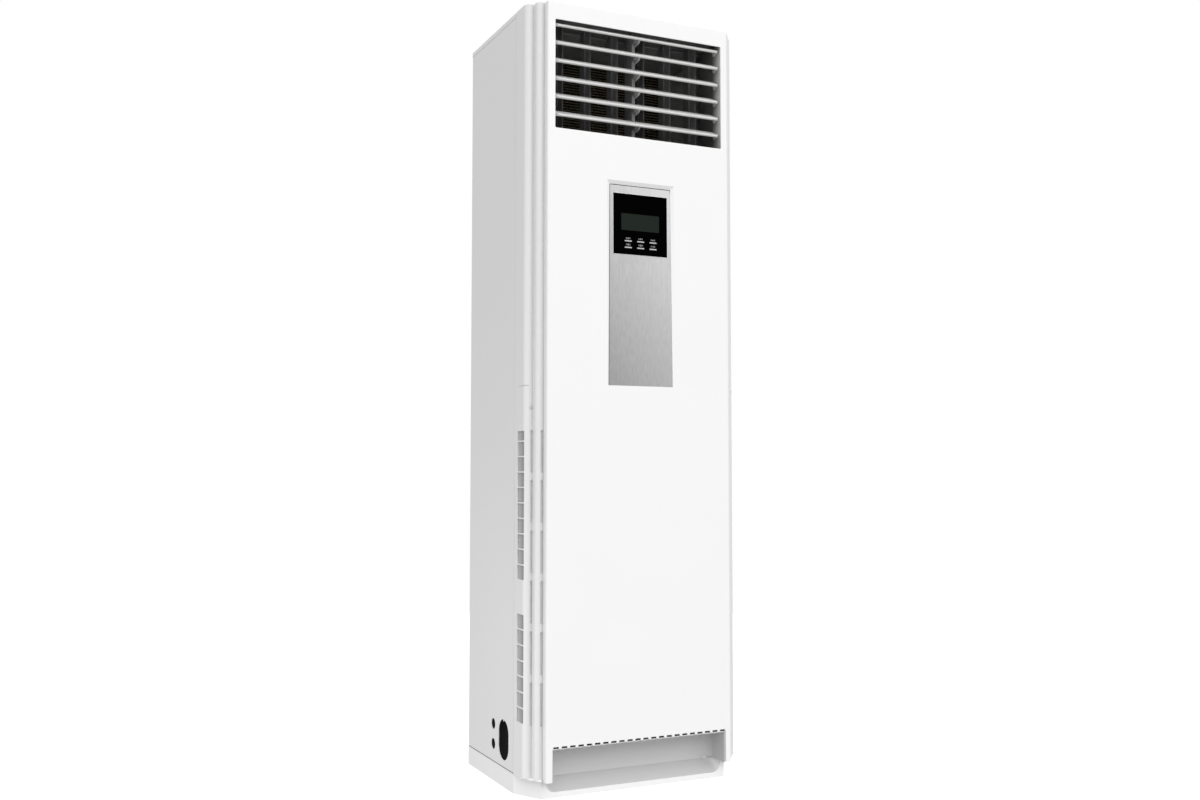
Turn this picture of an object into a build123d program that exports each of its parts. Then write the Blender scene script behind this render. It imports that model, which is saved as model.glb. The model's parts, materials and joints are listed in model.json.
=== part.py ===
"""Floor standing air conditioner, indoor cabinet.

Millimetres. The origin is the middle of the footprint at floor level, +Z is up,
+X is to the right of someone who faces the front, and the front looks along -Y.
Air enters through the two fluted corner columns, goes through the fan and the
slanted coil, and leaves through the louvres at the top of the front.
"""

from build123d import *
import math
import os

os.makedirs("parts", exist_ok=True)

# ------------------------------------------------------------------ overall sizes
width = 540.0
depth = 403.0
height = 1770.0
side_x = width / 2

# ------------------------------------------------------------------ walls and fits
sheet = 1.2  # steel sheet of the side, rear and deck plates
moulding = 2.5  # wall of the plastic mouldings
seam = 1.0  # open joint between neighbouring covers
seat = 0.3  # a fixed piece and what it sits on
running = 0.05  # radial clearance of a pin in its bore
play = 0.6  # side clearance of a moving piece
overcut = 1.0  # how far a cut runs past the face that it opens

# ------------------------------------------------------------------ base pan
base_height = 43.5
base_floor = 3.0
base_shelf = 40.4  # top of the base under the columns and the panel's legs
base_corner = 100.6  # the corner chamfer leaves the side this far back
base_face = 31.2  # front face of the base, behind the panel's face
base_margin = 38.0  # the base's front face ends this far in from the side
base_face_half = side_x - base_margin
ramp_low = 12.4
ramp_high = 36.0
ramp_end = 76.0
scoop_margin = 10.0
scoop_half = base_face_half - scoop_margin
scoop_radius = 22.0
ledge_half = scoop_half - scoop_radius  # level part between the round corners
base_cells = 6

# ------------------------------------------------------------------ front panel
panel_margin = 36.0  # the fluted corner shows this wide beside the panel
panel_half = side_x - panel_margin
panel_depth = 18.0
panel_wall = 2.8
panel_bottom = 41.0
panel_edge = 5.0
toe_margin = 15.0
toe_half = panel_half - toe_margin
toe_top = 112.4
tooth_pitch = 20.0
tooth_count = round(2 * toe_half / tooth_pitch)
tooth_gap = 13.5
tooth_height = 4.5
outlet_margin = 19.0
outlet_half = panel_half - outlet_margin
outlet_drop = 39.0  # top of the outlet below the top of the cabinet
outlet_tall = 248.0
outlet_high = height - outlet_drop
outlet_low = outlet_high - outlet_tall
outlet_corner = 3.0
rib_count = 4
rib_pitch = 170.0
rib_margin = 60.0

# ------------------------------------------------------------------ control recess
recess_half = 87.0
recess_drop = 104.0  # top of the recess below the outlet
recess_tall = 470.0
recess_high = outlet_low - recess_drop
recess_low = recess_high - recess_tall
recess_border_top = 9.0
recess_border_foot = 5.0
recess_depth_top = 4.5
recess_depth_foot = 1.0
trim_thickness = 1.2
trim_gap = 0.15
window_half = 69.5
window_drop = 28.0
window_tall = 140.5
window_high = recess_high - window_drop
window_low = window_high - window_tall
window_thickness = 2.4
lcd_half = 49.4
lcd_drop = 45.0
lcd_tall = 39.5
lcd_high = window_high - lcd_drop
lcd_low = lcd_high - lcd_tall
key_width = 19.6
key_height = 3.4
key_length = 6.4
key_pitch = 32.0
key_row_low = 16.3  # lower row of keys above the foot of the window
key_row_pitch = 15.0
key_rows = (window_low + key_row_low + key_row_pitch, window_low + key_row_low)
key_columns = (-1, 0, 1)
key_proud = 0.5
key_travel = 0.8
key_gap = 0.35
board_distance = 13.5
board_thickness = 1.6
board_post = 3.0
window_land = 3.5

# ------------------------------------------------------------------ corner columns
column_back = 100.0
side_ledge = 40.0  # first step of the fluted corner
inner_ledge = 18.4  # second step, which the panel's rim covers
side_step = 19.0  # how far the first step runs in from the side
flute_outer_radius = 13.0
flute_inner_radius = 10.0
column_flange = 44.0  # width of the column, in from the side
column_flange_end = side_x - column_flange
column_low = 45.0
foot_low = 41.4
foot_corner_side = 62.0
foot_corner_front = 14.0
slit_count = 6
slit_length = 92.6
slit_pitch = 110.6
slit_width = 5.5
slit_low = 160.0
cell_front = 47.0
cell_back = 83.0
cell_pitch = 34.2
cell_bar = 3.0
upper_cells = 9
upper_cells_low = 475.8
short_cell = 21.0
lower_cells = 7
lower_cells_low = 163.0
column_screw_height = 857.0
screw_shank = 1.8
screw_head = 3.4
screw_head_height = 1.6
screw_length = 9.0

# ------------------------------------------------------------------ top and toe covers
flange_height = 11.0
top_skin = 1.5
toe_distance = 78.0
toe_corner = 24.0

# ------------------------------------------------------------------ side and rear panels
side_return = 14.0
round_entry_radius = 12.4
round_entry_distance = 229.5
round_entry_heights = (130.0, 84.2)
port_distance = 163.0
port_height = 105.8
port_wide = 63.0
port_tall = 91.0
port_tab = 4.0  # small tab at the top of the port
bead_count = 3
bead_pitch = 150.0
bead_width = 18.0
bead_depth = 2.0
rear_inset = 2.0
rear_screw_count = 5
rear_screw_pitch = 400.0
rear_screw_margin = 7.0

# ------------------------------------------------------------------ outlet and louvres
frame_wall = 3.0
frame_margin = 6.0  # the frame's inside stands back from the panel's opening
frame_sill = 9.0
frame_head = 17.0
frame_half = outlet_half + frame_margin
frame_low = outlet_low - frame_sill
frame_high = outlet_high + frame_head
frame_front = 3.3
frame_back = 116.0
cheek_thickness = 4.4
cheek_back = 42.0
post_half = 4.0
post_front = 38.0
post_back = 76.0
lug_radius = 4.2  # lugs on the post's front edge carry the louvres' centre pins
notch_start = 8.0  # the notch that clears the post starts this far behind a pivot
centre_pin = 2.0
louvre_count = 6
louvre_drop = 10.4  # top pivot below the head of the outlet
louvre_top = outlet_high - louvre_drop
louvre_pitch = 41.0
louvre_axis = 27.0
louvre_tilt = 28.0
louvre_front_chord = 21.0
louvre_rear_chord = 20.0
louvre_height = 8.3  # blade above its pivot
louvre_thickness = 6.5
louvre_gap = 6.5
louvre_half = frame_half - louvre_gap
louvre_corner = 12.0
louvre_pin = 3.0
crank_radius = 36.0
crank_angle = -10.0
crank_pin = 2.5
arm_thickness = 3.0
arm_boss = 5.0
centre_arm = 6.0
link_thickness = 3.5

# ------------------------------------------------------------------ vertical vanes
vane_count = 6
vane_margin = 40.0  # end vanes in from the sides of the outlet
vane_pitch = 2 * (outlet_half - vane_margin) / (vane_count - 1)
vane_axis = 81.0
vane_reach = 29.0
vane_thickness = 2.0
vane_sill = 10.0
vane_head = 2.5
vane_low = frame_low + vane_sill
vane_high = frame_high - vane_head
vane_pin = 3.0
vane_crank = 22.0
vane_link_thickness = 3.0
link_half = 4.5
swing_motor_radius = 14.0
swing_motor_height = 15.0
swing_flange = 3.2
swing_depth = 8.0

# ------------------------------------------------------------------ duct and coil
duct_margin = 26.0
duct_half = side_x - duct_margin
duct_wall = 6.0
duct_front = 108.0
deck_height = 830.0
coil_margin = 50.0
coil_half = duct_half - coil_margin
coil_thickness = 44.0
coil_foot = 150.0
coil_head_margin = 103.0  # head of the slanted coil in front of the back
coil_head = depth - coil_head_margin
coil_end_margin = 5.0
coil_rise = 16.0
coil_drop = 14.0
coil_low = deck_height + coil_rise
coil_high = frame_high - coil_drop
fin_pitch = 9.7
fin_gap = 4.2
fin_groove = 6.0
tube_radius = 4.8
tube_count = 6
tube_row_gap = 20.0
header_margin = 12.0
header_x = coil_half + header_margin
header_overrun = 20.0
end_plate = 1.5
pan_lip = 8.5
pan_front = duct_front + pan_lip
pan_reach = 36.0  # the pan catches what drips behind the coil's foot
pan_back = coil_foot + pan_reach
pan_depth = 38.0
pan_margin = 24.0
pan_half = coil_half + pan_margin
spout_radius = 9.0
spout_length = 26.0
spout_margin = 28.0
spout_x = pan_half - spout_margin
spout_inset = 23.5
spout_distance = pan_front + spout_inset

# ------------------------------------------------------------------ fan
fan_height = 470.0
scroll_start = 178.0
scroll_growth = 18.0
housing_depth = 150.0
motor_space = 67.0  # between the fan housing and the back
housing_back = depth - motor_space
housing_front = housing_back - housing_depth
housing_wall = 2.5
tongue_radius = 12.0
tongue_gap = 15.0  # between the wheel and the start of the scroll
wheel_gap = 12.0
wheel_back_gap = 15.0
wheel_radius = scroll_start - tongue_gap
blade_depth = 25.0
wheel_inner = wheel_radius - blade_depth
wheel_width = housing_depth - 2 * housing_wall - wheel_gap - wheel_back_gap
blade_count = 30
blade_sweep = 9.0
blade_thickness = 1.6
inlet_lap = 23.0  # the wheel's rim stands this far outside the inlet
inlet_radius = wheel_radius - inlet_lap
inlet_flare = 22.0
shaft_radius = 6.0
hub_radius = 18.0
hub_length = 28.0
wheel_plate = 3.0
wheel_ring = 11.0
motor_boss = 20.0
motor_bore = 30.0
motor_radius = 64.0
motor_length = 52.0

# ------------------------------------------------------------------ electrics
box_front = 24.0
box_back = 107.4
box_left = -110.0
box_right = 150.0
box_drop = 9.0  # foot of the electrical box below the recess
box_tall = 270.0
box_low = recess_low - box_drop
box_high = box_low + box_tall
capacitor_radius = 20.0
capacitor_height = 70.0
circuit_thickness = 1.6
standoff = 8.0
terminal_ways = 6
terminal_pitch = 11.0

# ------------------------------------------------------------------ pipes and filters
gas_radius = 7.95
liquid_radius = 4.76
leg_margin = 35.0
leg_x = coil_half + leg_margin
pipe_bend = 12.0
gas_tap = 34.0
liquid_tap = 50.0
gas_exit = 118.0
liquid_exit = 88.0
pipe_margin = 14.0  # the pipes end this far inside the side panel
pipe_end = side_x - pipe_margin
gas_nut = 13.0
liquid_nut = 9.0
nut_length = 14.0
filter_low = 150.0
filter_drop = 15.0
filter_high = deck_height - filter_drop
filter_thickness = 2.4
filter_web = 0.8
filter_rows = 7
filter_back = 97.0
filter_border = 5.0
filter_inset = moulding + 0.6  # follows the column's wall inside

# ------------------------------------------------------------------ frame of reference
front_y = -depth / 2
back_y = depth / 2


def behind(distance):
    """Y of a place this far behind the front panel's face."""
    return front_y + distance


def facing_front(distance, x=0.0, z=0.0):
    """Plane that looks at the viewer, this far behind the panel's face."""
    return Plane(origin=(x, behind(distance), z), x_dir=(1, 0, 0), z_dir=(0, -1, 0))


def facing_right(x, distance=0.0, z=0.0):
    """Plane that looks along +X; its own x runs to the back and its y upwards."""
    return Plane(origin=(x, behind(distance), z), x_dir=(0, 1, 0), z_dir=(1, 0, 0))


def nearest(shapes, point):
    """The one of these vertices, edges or faces that lies nearest to a point."""
    return shapes.sort_by_distance(point)[0]


def hand_over(builder, node):
    """Label a finished piece and write its own file."""
    builder.part.label = node
    export_step(builder.part, f"parts/{node}.step")


# ================================================================== base pan
base_outline = (
    (-side_x, back_y),
    (-side_x, behind(base_corner)),
    (-base_face_half, behind(base_face)),
    (base_face_half, behind(base_face)),
    (side_x, behind(base_corner)),
    (side_x, back_y),
)
ramp_angle = math.degrees(math.atan2(ramp_high - ramp_low, ramp_end - base_face))
ramp_down = (0, -math.cos(math.radians(ramp_angle)), -math.sin(math.radians(ramp_angle)))
ramp_length = (ramp_end - base_face) / math.cos(math.radians(ramp_angle))
# looks down the ramp towards the viewer, so its y runs up
ramp_plane = Plane(origin=(0, behind(base_face), ramp_low), x_dir=(1, 0, 0), z_dir=ramp_down)
tray_front = ramp_end + toe_corner / 2

with BuildPart() as base_pan:
    with BuildSketch():
        with BuildLine():
            Polyline(*base_outline, close=True)
        make_face()
    extrude(amount=base_height)
    # the lower shelf under the columns and the legs of the front panel
    with BuildSketch(Plane.XY.offset(base_shelf)):
        with Locations((0, behind(base_corner / 2))):
            Rectangle(width, base_corner)
    extrude(amount=base_height - base_shelf, mode=Mode.SUBTRACT)
    # the tray behind the toe recess
    with BuildSketch(Plane.XY.offset(base_floor)):
        with BuildLine():
            Polyline(
                (-side_x + moulding, back_y - moulding),
                (-side_x + moulding, behind(base_corner)),
                (-base_face_half, behind(tray_front)),
                (base_face_half, behind(tray_front)),
                (side_x - moulding, behind(base_corner)),
                (side_x - moulding, back_y - moulding),
                close=True,
            )
        make_face()
    extrude(amount=base_height, mode=Mode.SUBTRACT)
    # the scooped ramp, whose lower corners are round
    with BuildSketch(ramp_plane.offset(scoop_radius)) as scoop:
        with Locations((0, base_height / 2)):
            Rectangle(2 * scoop_half, base_height)
        fillet(scoop.vertices().group_by(Axis.Y)[0], radius=scoop_radius)
    extrude(amount=-(ramp_length + scoop_radius), mode=Mode.SUBTRACT)
    # the level ledge that carries the toe cover's wall, inside the round corners
    ledge_front = ramp_end - 2 * moulding - 2 * seat
    with BuildSketch(Plane.XY.offset(ramp_high)):
        with Locations((0, behind((ledge_front + tray_front) / 2))):
            Rectangle(2 * (ledge_half + seat), tray_front - ledge_front)
    extrude(amount=base_height, mode=Mode.SUBTRACT)
    # cells under the ramp keep its wall even
    cell_span = 2 * ledge_half / base_cells
    with BuildSketch(facing_right(0)) as ramp_cell:
        with BuildLine():
            Polyline(
                (base_face + 3 * moulding, 0),
                (base_face + 3 * moulding, ramp_low - moulding),
                (ramp_end, ramp_high - 2 * moulding),
                (tray_front - moulding, ramp_high - 2 * moulding),
                (tray_front - moulding, 0),
                close=True,
            )
        make_face()
    for index in range(base_cells):
        middle = (index - (base_cells - 1) / 2) * cell_span
        extrude(
            ramp_cell.sketch.moved(Location((middle, 0, 0))),
            amount=cell_span / 2 - moulding,
            both=True,
            mode=Mode.SUBTRACT,
        )
hand_over(base_pan, "base_pan")

# ================================================================== toe cover
with BuildPart() as toe_cover:
    with BuildSketch(Plane.XY.offset(ramp_high + seat)) as toe_outside:
        with Locations((0, behind((frame_front + toe_distance) / 2))):
            Rectangle(2 * toe_half - seat, toe_distance - frame_front)
        fillet(toe_outside.vertices().group_by(Axis.Y)[-1], radius=toe_corner)
    extrude(amount=toe_top - seat - ramp_high - seat)
    with BuildSketch(Plane.XY.offset(ramp_high)) as toe_inside:
        with Locations((0, behind((frame_front + toe_distance - moulding) / 2))):
            Rectangle(2 * (toe_half - moulding) - seat, toe_distance - moulding - frame_front)
        fillet(toe_inside.vertices().group_by(Axis.Y)[-1], radius=toe_corner - moulding)
    extrude(amount=toe_top - ramp_high - moulding - seat, mode=Mode.SUBTRACT)
    # beyond the level ledge the walls stop above the base's shelf
    with BuildSketch(Plane.XY):
        with Locations((0, behind(toe_distance / 2))):
            Rectangle(width, toe_distance + 2 * seat)
            Rectangle(2 * ledge_half, toe_distance + 2 * seat, mode=Mode.SUBTRACT)
    extrude(amount=base_shelf + seat, mode=Mode.SUBTRACT)
hand_over(toe_cover, "toe_cover")


# ================================================================== corner columns
def column_outline(sign, inset, back):
    """Stepped plan of a corner column, moved inwards by inset, from the side to the panel."""
    steps = (
        (side_x - inset, back),
        (side_x - inset, side_ledge + inset),
        (side_x - side_step - inset, side_ledge + inset),
        (side_x - side_step - inset, inner_ledge + inset),
        (column_flange_end, inner_ledge + inset),
    )
    return [(sign * x, behind(distance)) for x, distance in steps]


def column_face(sign, inset, back, inner_back):
    """The stepped outline closed across its open back."""
    with BuildSketch() as face:
        with BuildLine():
            outline = column_outline(sign, inset, back)
            Polyline(*outline, (outline[-1][0], behind(inner_back)), close=True)
        make_face()
        first = (sign * (side_x - inset), behind(side_ledge + inset))
        second = (sign * (side_x - side_step - inset), behind(inner_ledge + inset))
        fillet(nearest(face.vertices(), first), radius=flute_outer_radius - inset)
        fillet(nearest(face.vertices(), second), radius=flute_inner_radius - inset)
    return face.sketch


column_screw_x = side_x - side_step + screw_head + seat


def make_column(sign):
    """One fluted corner column with its intake slits and side cells."""
    with BuildPart() as column:
        # shell: the stepped outline less the same outline one wall further in
        extrude(
            column_face(sign, 0, column_back, column_back).moved(Location((0, 0, column_low))),
            amount=height - column_low,
        )
        with BuildSketch() as hollow:
            add(column_face(sign, moulding, column_back - moulding, column_back - moulding))
        extrude(
            hollow.sketch.moved(Location((0, 0, column_low - moulding))),
            amount=height - column_low,
            mode=Mode.SUBTRACT,
        )
        # the back is open towards the cabinet, but for a flange along the side
        with BuildSketch(Plane.XY.offset(column_low)):
            opening_width = column_flange - side_return
            with Locations((sign * (column_flange_end + opening_width / 2), behind(column_back))):
                Rectangle(opening_width, 3 * moulding)
        extrude(amount=height - column_low - moulding, mode=Mode.SUBTRACT)
        # spread foot that covers the edge of the base
        foot_steps = (
            (side_x, column_back),
            (side_x, foot_corner_side),
            (panel_half + 2 * moulding, foot_corner_front),
            (panel_half + seam / 2, foot_corner_front),
            (panel_half + seam / 2, column_back),
        )
        with BuildSketch(Plane.XY.offset(foot_low)) as foot:
            with BuildLine():
                Polyline(*[(sign * x, behind(distance)) for x, distance in foot_steps], close=True)
            make_face()
            bend = (sign * side_x, behind(foot_corner_side))
            fillet(nearest(foot.vertices(), bend), radius=flute_outer_radius)
        extrude(amount=column_low - foot_low)
        # intake slits at the inner end of both ledges
        slit_height = slit_low + slit_length / 2
        slit_places = (
            (side_x - side_step + slit_width / 2, side_ledge),
            (panel_half + slit_width / 2 + seam, inner_ledge),
        )
        for x, distance in slit_places:
            with BuildSketch(facing_front(distance - overcut, sign * x)):
                with Locations((0, slit_height + slit_pitch * (slit_count - 1) / 2)):
                    with GridLocations(0, slit_pitch, 1, slit_count):
                        Rectangle(slit_width, slit_length)
            extrude(amount=-(moulding + 2 * overcut), mode=Mode.SUBTRACT)
        # cells in the side face, in two groups
        opening = cell_pitch - cell_bar
        with BuildSketch(facing_right(sign * (side_x - moulding - overcut))):
            middle = (cell_front + cell_back) / 2
            for low, count in ((upper_cells_low, upper_cells), (lower_cells_low, lower_cells)):
                for row in range(count):
                    with Locations((middle, low + row * cell_pitch + opening / 2)):
                        Rectangle(cell_back - cell_front, opening)
            short_low = upper_cells_low + upper_cells * cell_pitch
            with Locations((middle, short_low + short_cell / 2)):
                Rectangle(cell_back - cell_front, short_cell)
        extrude(amount=sign * (moulding + 2 * overcut), mode=Mode.SUBTRACT)
        # hole for the screw that ties the column to the cabinet
        screw_front = side_ledge - overcut
        with BuildSketch(facing_front(screw_front, sign * column_screw_x, column_screw_height)):
            Circle(radius=screw_shank + running)
        extrude(amount=-(moulding + 2 * overcut), mode=Mode.SUBTRACT)
    return column


for sign, side_name in ((-1, "left"), (1, "right")):
    column = make_column(sign)
    hand_over(column, f"corner_column_{side_name}")

# ================================================================== front panel
recess_tilt = math.degrees(
    math.atan2(recess_depth_top - recess_depth_foot, recess_high - recess_border_top - recess_low)
)
recess_normal = (
    0,
    -math.cos(math.radians(recess_tilt)),
    math.sin(math.radians(recess_tilt)),
)
# the slightly tilted plane of the silver plate's face; its y runs up the plate
trim_plane = Plane(
    origin=(0, behind(recess_depth_foot), recess_low), x_dir=(1, 0, 0), z_dir=recess_normal
)
trim_top = recess_high - recess_border_top - recess_low
trim_top_half = recess_half - recess_border_top
trim_foot_half = recess_half - recess_border_foot
pad_depth = recess_depth_top + trim_thickness + panel_wall


def trim_outline(shrink):
    """Corners of the silver plate, drawn in by shrink."""
    return (
        (-trim_foot_half + shrink, shrink),
        (trim_foot_half - shrink, shrink),
        (trim_top_half - shrink, trim_top - shrink),
        (-trim_top_half + shrink, trim_top - shrink),
    )


with BuildPart() as front_panel:
    with BuildSketch(facing_front(panel_depth)):
        with Locations((0, (panel_bottom + height) / 2)):
            Rectangle(2 * panel_half, height - panel_bottom)
    extrude(amount=panel_depth)
    front_corners = front_panel.edges().filter_by(Axis.Z).group_by(Axis.Y)[0]
    fillet(front_corners, radius=panel_edge)
    top_edge = front_panel.edges().filter_by(Axis.X).group_by(Axis.Z)[-1].sort_by(Axis.Y)[0]
    fillet(top_edge, radius=panel_wall - seam)
    rim = front_panel.faces().sort_by(Axis.Y)[-1]
    offset(amount=-panel_wall, openings=rim)
    # thicker pad behind the control recess, with posts for the circuit board
    with BuildSketch(facing_front(pad_depth)):
        with Locations((0, (recess_low + recess_high) / 2)):
            Rectangle(2 * recess_half + 4 * panel_wall, recess_high - recess_low + 4 * panel_wall)
    extrude(amount=pad_depth - panel_wall / 2)
    post_row = (window_half - 2 * board_post, window_high - window_low - 4 * board_post)
    with BuildSketch(facing_front(board_distance - seat)):
        with Locations((0, (window_low + window_high) / 2)):
            with GridLocations(2 * post_row[0] + 6 * board_post, post_row[1], 2, 2):
                Circle(radius=board_post)
    extrude(amount=board_distance - pad_depth)
    # stiffening ribs behind the plain lower part
    with BuildSketch(facing_front(panel_depth - 2 * panel_wall)):
        with Locations((0, (toe_top + recess_low) / 2)):
            with GridLocations(0, rib_pitch, 1, rib_count):
                Rectangle(2 * panel_half - 2 * panel_wall, panel_wall / 2)
            with GridLocations(toe_half, 0, 2, 1):
                Rectangle(panel_wall / 2, recess_low - toe_top - 2 * rib_margin)
    extrude(amount=panel_depth - 3 * panel_wall)
    # outlet
    with BuildSketch(facing_front(panel_depth)) as outlet:
        with Locations((0, (outlet_low + outlet_high) / 2)):
            Rectangle(2 * outlet_half, outlet_high - outlet_low)
        fillet(outlet.vertices(), radius=outlet_corner)
    extrude(amount=panel_depth + overcut, mode=Mode.SUBTRACT)
    # toe notch and the row of small air notches above it
    with BuildSketch(facing_front(panel_depth + overcut)):
        with Locations((0, toe_top / 2)):
            Rectangle(2 * toe_half, toe_top)
        with Locations((0, toe_top)):
            with GridLocations(tooth_pitch, 0, tooth_count, 1):
                Rectangle(tooth_gap, 2 * tooth_height)
    extrude(amount=panel_depth + 2 * overcut, mode=Mode.SUBTRACT)
    # recess: from its wide mouth down to the tilted seat of the silver plate
    with BuildSketch(facing_front(0)) as mouth:
        with Locations((0, (recess_low + recess_high) / 2)):
            Rectangle(2 * recess_half, recess_high - recess_low)
    with BuildSketch(trim_plane) as seat_outline:
        with BuildLine():
            Polyline(*trim_outline(0), close=True)
        make_face()
    loft([mouth.sketch.face(), seat_outline.sketch.face()], ruled=True, mode=Mode.SUBTRACT)
    extrude(seat_outline.sketch, amount=-(trim_thickness + seat / 2), mode=Mode.SUBTRACT)
    # opening for the display window
    with BuildSketch(facing_front(pad_depth + overcut)):
        with Locations((0, (window_low + window_high) / 2)):
            Rectangle(
                2 * (window_half - window_land),
                window_high - window_low - 2 * window_land,
            )
    extrude(amount=pad_depth + overcut, mode=Mode.SUBTRACT)
hand_over(front_panel, "front_panel")

# ================================================================== cabinet shell
rear_outer = depth - rear_inset
rear_inner = rear_outer - sheet
cover_low = height - flange_height
shell_low = base_height + seam
shell_high = cover_low - seam
side_front = column_back + seam


def make_side_panel(sign, with_entries):
    """Folded sheet side with a return along each upright edge."""
    with BuildPart() as side_panel:
        edge = side_x - side_return
        rear_return = rear_inner - seat
        with BuildSketch(Plane.XY.offset(shell_low)):
            with BuildLine():
                plan = (
                    (edge, side_front),
                    (side_x, side_front),
                    (side_x, rear_outer),
                    (side_x - sheet, rear_outer),
                    (side_x - sheet, rear_return),
                    (edge, rear_return),
                    (edge, rear_return - sheet),
                    (side_x - sheet, rear_return - sheet),
                    (side_x - sheet, side_front + sheet),
                    (edge, side_front + sheet),
                )
                Polyline(*[(sign * x, behind(distance)) for x, distance in plan], close=True)
            make_face()
        extrude(amount=shell_high - shell_low)
        if with_entries:
            with BuildSketch(facing_right(sign * (side_x - 2 * sheet))):
                for entry_height in round_entry_heights:
                    with Locations((round_entry_distance, entry_height)):
                        Circle(radius=round_entry_radius)
                with Locations((port_distance, port_height)):
                    SlotOverall(port_tall, port_wide, rotation=90)
                with Locations((port_distance, port_height + port_tall / 2)):
                    Rectangle(port_tab, 2 * port_tab, mode=Mode.SUBTRACT)
            extrude(amount=sign * 3 * sheet, mode=Mode.SUBTRACT)
    return side_panel


side_panel_left = make_side_panel(-1, with_entries=True)
hand_over(side_panel_left, "side_panel_left")
side_panel_right = make_side_panel(1, with_entries=False)
hand_over(side_panel_right, "side_panel_right")

with BuildPart() as rear_panel:
    with BuildSketch(facing_front(rear_outer)):
        with Locations((0, (shell_low + shell_high) / 2)):
            Rectangle(width - 2 * sheet - 2 * seat, shell_high - shell_low)
    extrude(amount=sheet)
    bead_height = shell_high - shell_low - 2 * side_step
    with BuildSketch(facing_front(rear_inner)) as bead_ridges:
        with Locations((0, (shell_low + shell_high) / 2)):
            with GridLocations(bead_pitch, 0, bead_count, 1):
                SlotOverall(bead_height, bead_width, rotation=90)
    extrude(amount=bead_depth, taper=30)
    with BuildSketch(facing_front(rear_outer)) as bead_grooves:
        with Locations((0, (shell_low + shell_high) / 2)):
            with GridLocations(bead_pitch, 0, bead_count, 1):
                SlotOverall(bead_height - sheet, bead_width - sheet, rotation=90)
    extrude(amount=bead_depth, taper=30, mode=Mode.SUBTRACT)
    screw_x = side_x - rear_screw_margin
    screw_middle = (shell_low + shell_high) / 2
    with BuildSketch(facing_front(rear_outer + overcut)):
        with Locations((0, screw_middle)):
            with GridLocations(2 * screw_x, rear_screw_pitch, 2, rear_screw_count - 1):
                Circle(radius=screw_shank + running)
    extrude(amount=2 * sheet, mode=Mode.SUBTRACT)
hand_over(rear_panel, "rear_panel")

with BuildPart() as cabinet_screws:
    # rear screws, sunk in the inset of the rear panel
    with BuildSketch(facing_front(rear_outer)):
        with Locations((0, screw_middle)):
            with GridLocations(2 * screw_x, rear_screw_pitch, 2, rear_screw_count - 1):
                Circle(radius=screw_head)
    extrude(amount=-screw_head_height)
    with BuildSketch(facing_front(rear_outer)):
        with Locations((0, screw_middle)):
            with GridLocations(2 * screw_x, rear_screw_pitch, 2, rear_screw_count - 1):
                Circle(radius=screw_shank)
    extrude(amount=sheet + seat / 2)
    with BuildSketch(facing_front(depth)):
        with Locations((0, screw_middle)):
            with GridLocations(2 * screw_x, rear_screw_pitch, 2, rear_screw_count - 1):
                Rectangle(screw_head, screw_shank / 2)
                Rectangle(screw_shank / 2, screw_head)
    extrude(amount=screw_head_height / 2 + rear_inset - screw_head_height, mode=Mode.SUBTRACT)
    # column screws, deep in the valley of the flutes
    for sign in (-1, 1):
        with BuildSketch(facing_front(side_ledge, sign * column_screw_x, column_screw_height)):
            Circle(radius=screw_head)
        extrude(amount=screw_head_height)
        with BuildSketch(facing_front(side_ledge, sign * column_screw_x, column_screw_height)):
            Circle(radius=screw_shank)
        extrude(amount=-screw_length)
hand_over(cabinet_screws, "cabinet_screws")

tongue_half = column_flange_end - seam / 2
with BuildPart() as top_cover:
    with BuildSketch(Plane.XY.offset(cover_low)):
        with BuildLine():
            Polyline(
                (-side_x, back_y),
                (-side_x, behind(side_front)),
                (-tongue_half, behind(side_front)),
                (-tongue_half, behind(inner_ledge)),
                (tongue_half, behind(inner_ledge)),
                (tongue_half, behind(side_front)),
                (side_x, behind(side_front)),
                (side_x, back_y),
                close=True,
            )
        make_face()
    extrude(amount=flange_height)
    underside = top_cover.faces().sort_by(Axis.Z)[0]
    offset(amount=-top_skin, openings=underside)
hand_over(top_cover, "top_cover")

# ================================================================== outlet frame
frame_outer = frame_half + frame_wall


def louvre_axis_height(index):
    """Height of a louvre's pivot, counted from the top one."""
    return louvre_top - index * louvre_pitch


def vane_x(index):
    """Place of a vane's pivot across the outlet."""
    return (index - (vane_count - 1) / 2) * vane_pitch


with BuildPart() as outlet_frame:
    with BuildSketch(facing_front(frame_back)):
        with Locations((0, (frame_low + frame_high) / 2)):
            Rectangle(2 * frame_outer, frame_high - frame_low + 2 * frame_wall)
            Rectangle(2 * frame_half, frame_high - frame_low, mode=Mode.SUBTRACT)
    extrude(amount=frame_back - frame_front)
    # bores for the vane pivots, above and below
    with BuildSketch(Plane.XY.offset(frame_low - 2 * frame_wall)):
        with Locations((0, behind(vane_axis))):
            with GridLocations(vane_pitch, 0, vane_count, 1):
                Circle(radius=vane_pin + running)
    extrude(amount=frame_high - frame_low + 4 * frame_wall, mode=Mode.SUBTRACT)
hand_over(outlet_frame, "outlet_frame")

# side cheeks that carry the ends of the louvres
for sign, side_name in ((-1, "left"), (1, "right")):
    with BuildPart() as cheek:
        with BuildSketch(facing_right(sign * (frame_half - seat))):
            with Locations(((frame_front + cheek_back) / 2, (frame_low + frame_high) / 2)):
                Rectangle(cheek_back - frame_front, frame_high - frame_low - 2 * seat)
            for index in range(louvre_count):
                with Locations((louvre_axis, louvre_axis_height(index))):
                    Circle(radius=louvre_pin + running, mode=Mode.SUBTRACT)
        extrude(amount=-sign * cheek_thickness)
    hand_over(cheek, f"louvre_cheek_{side_name}")

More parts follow.
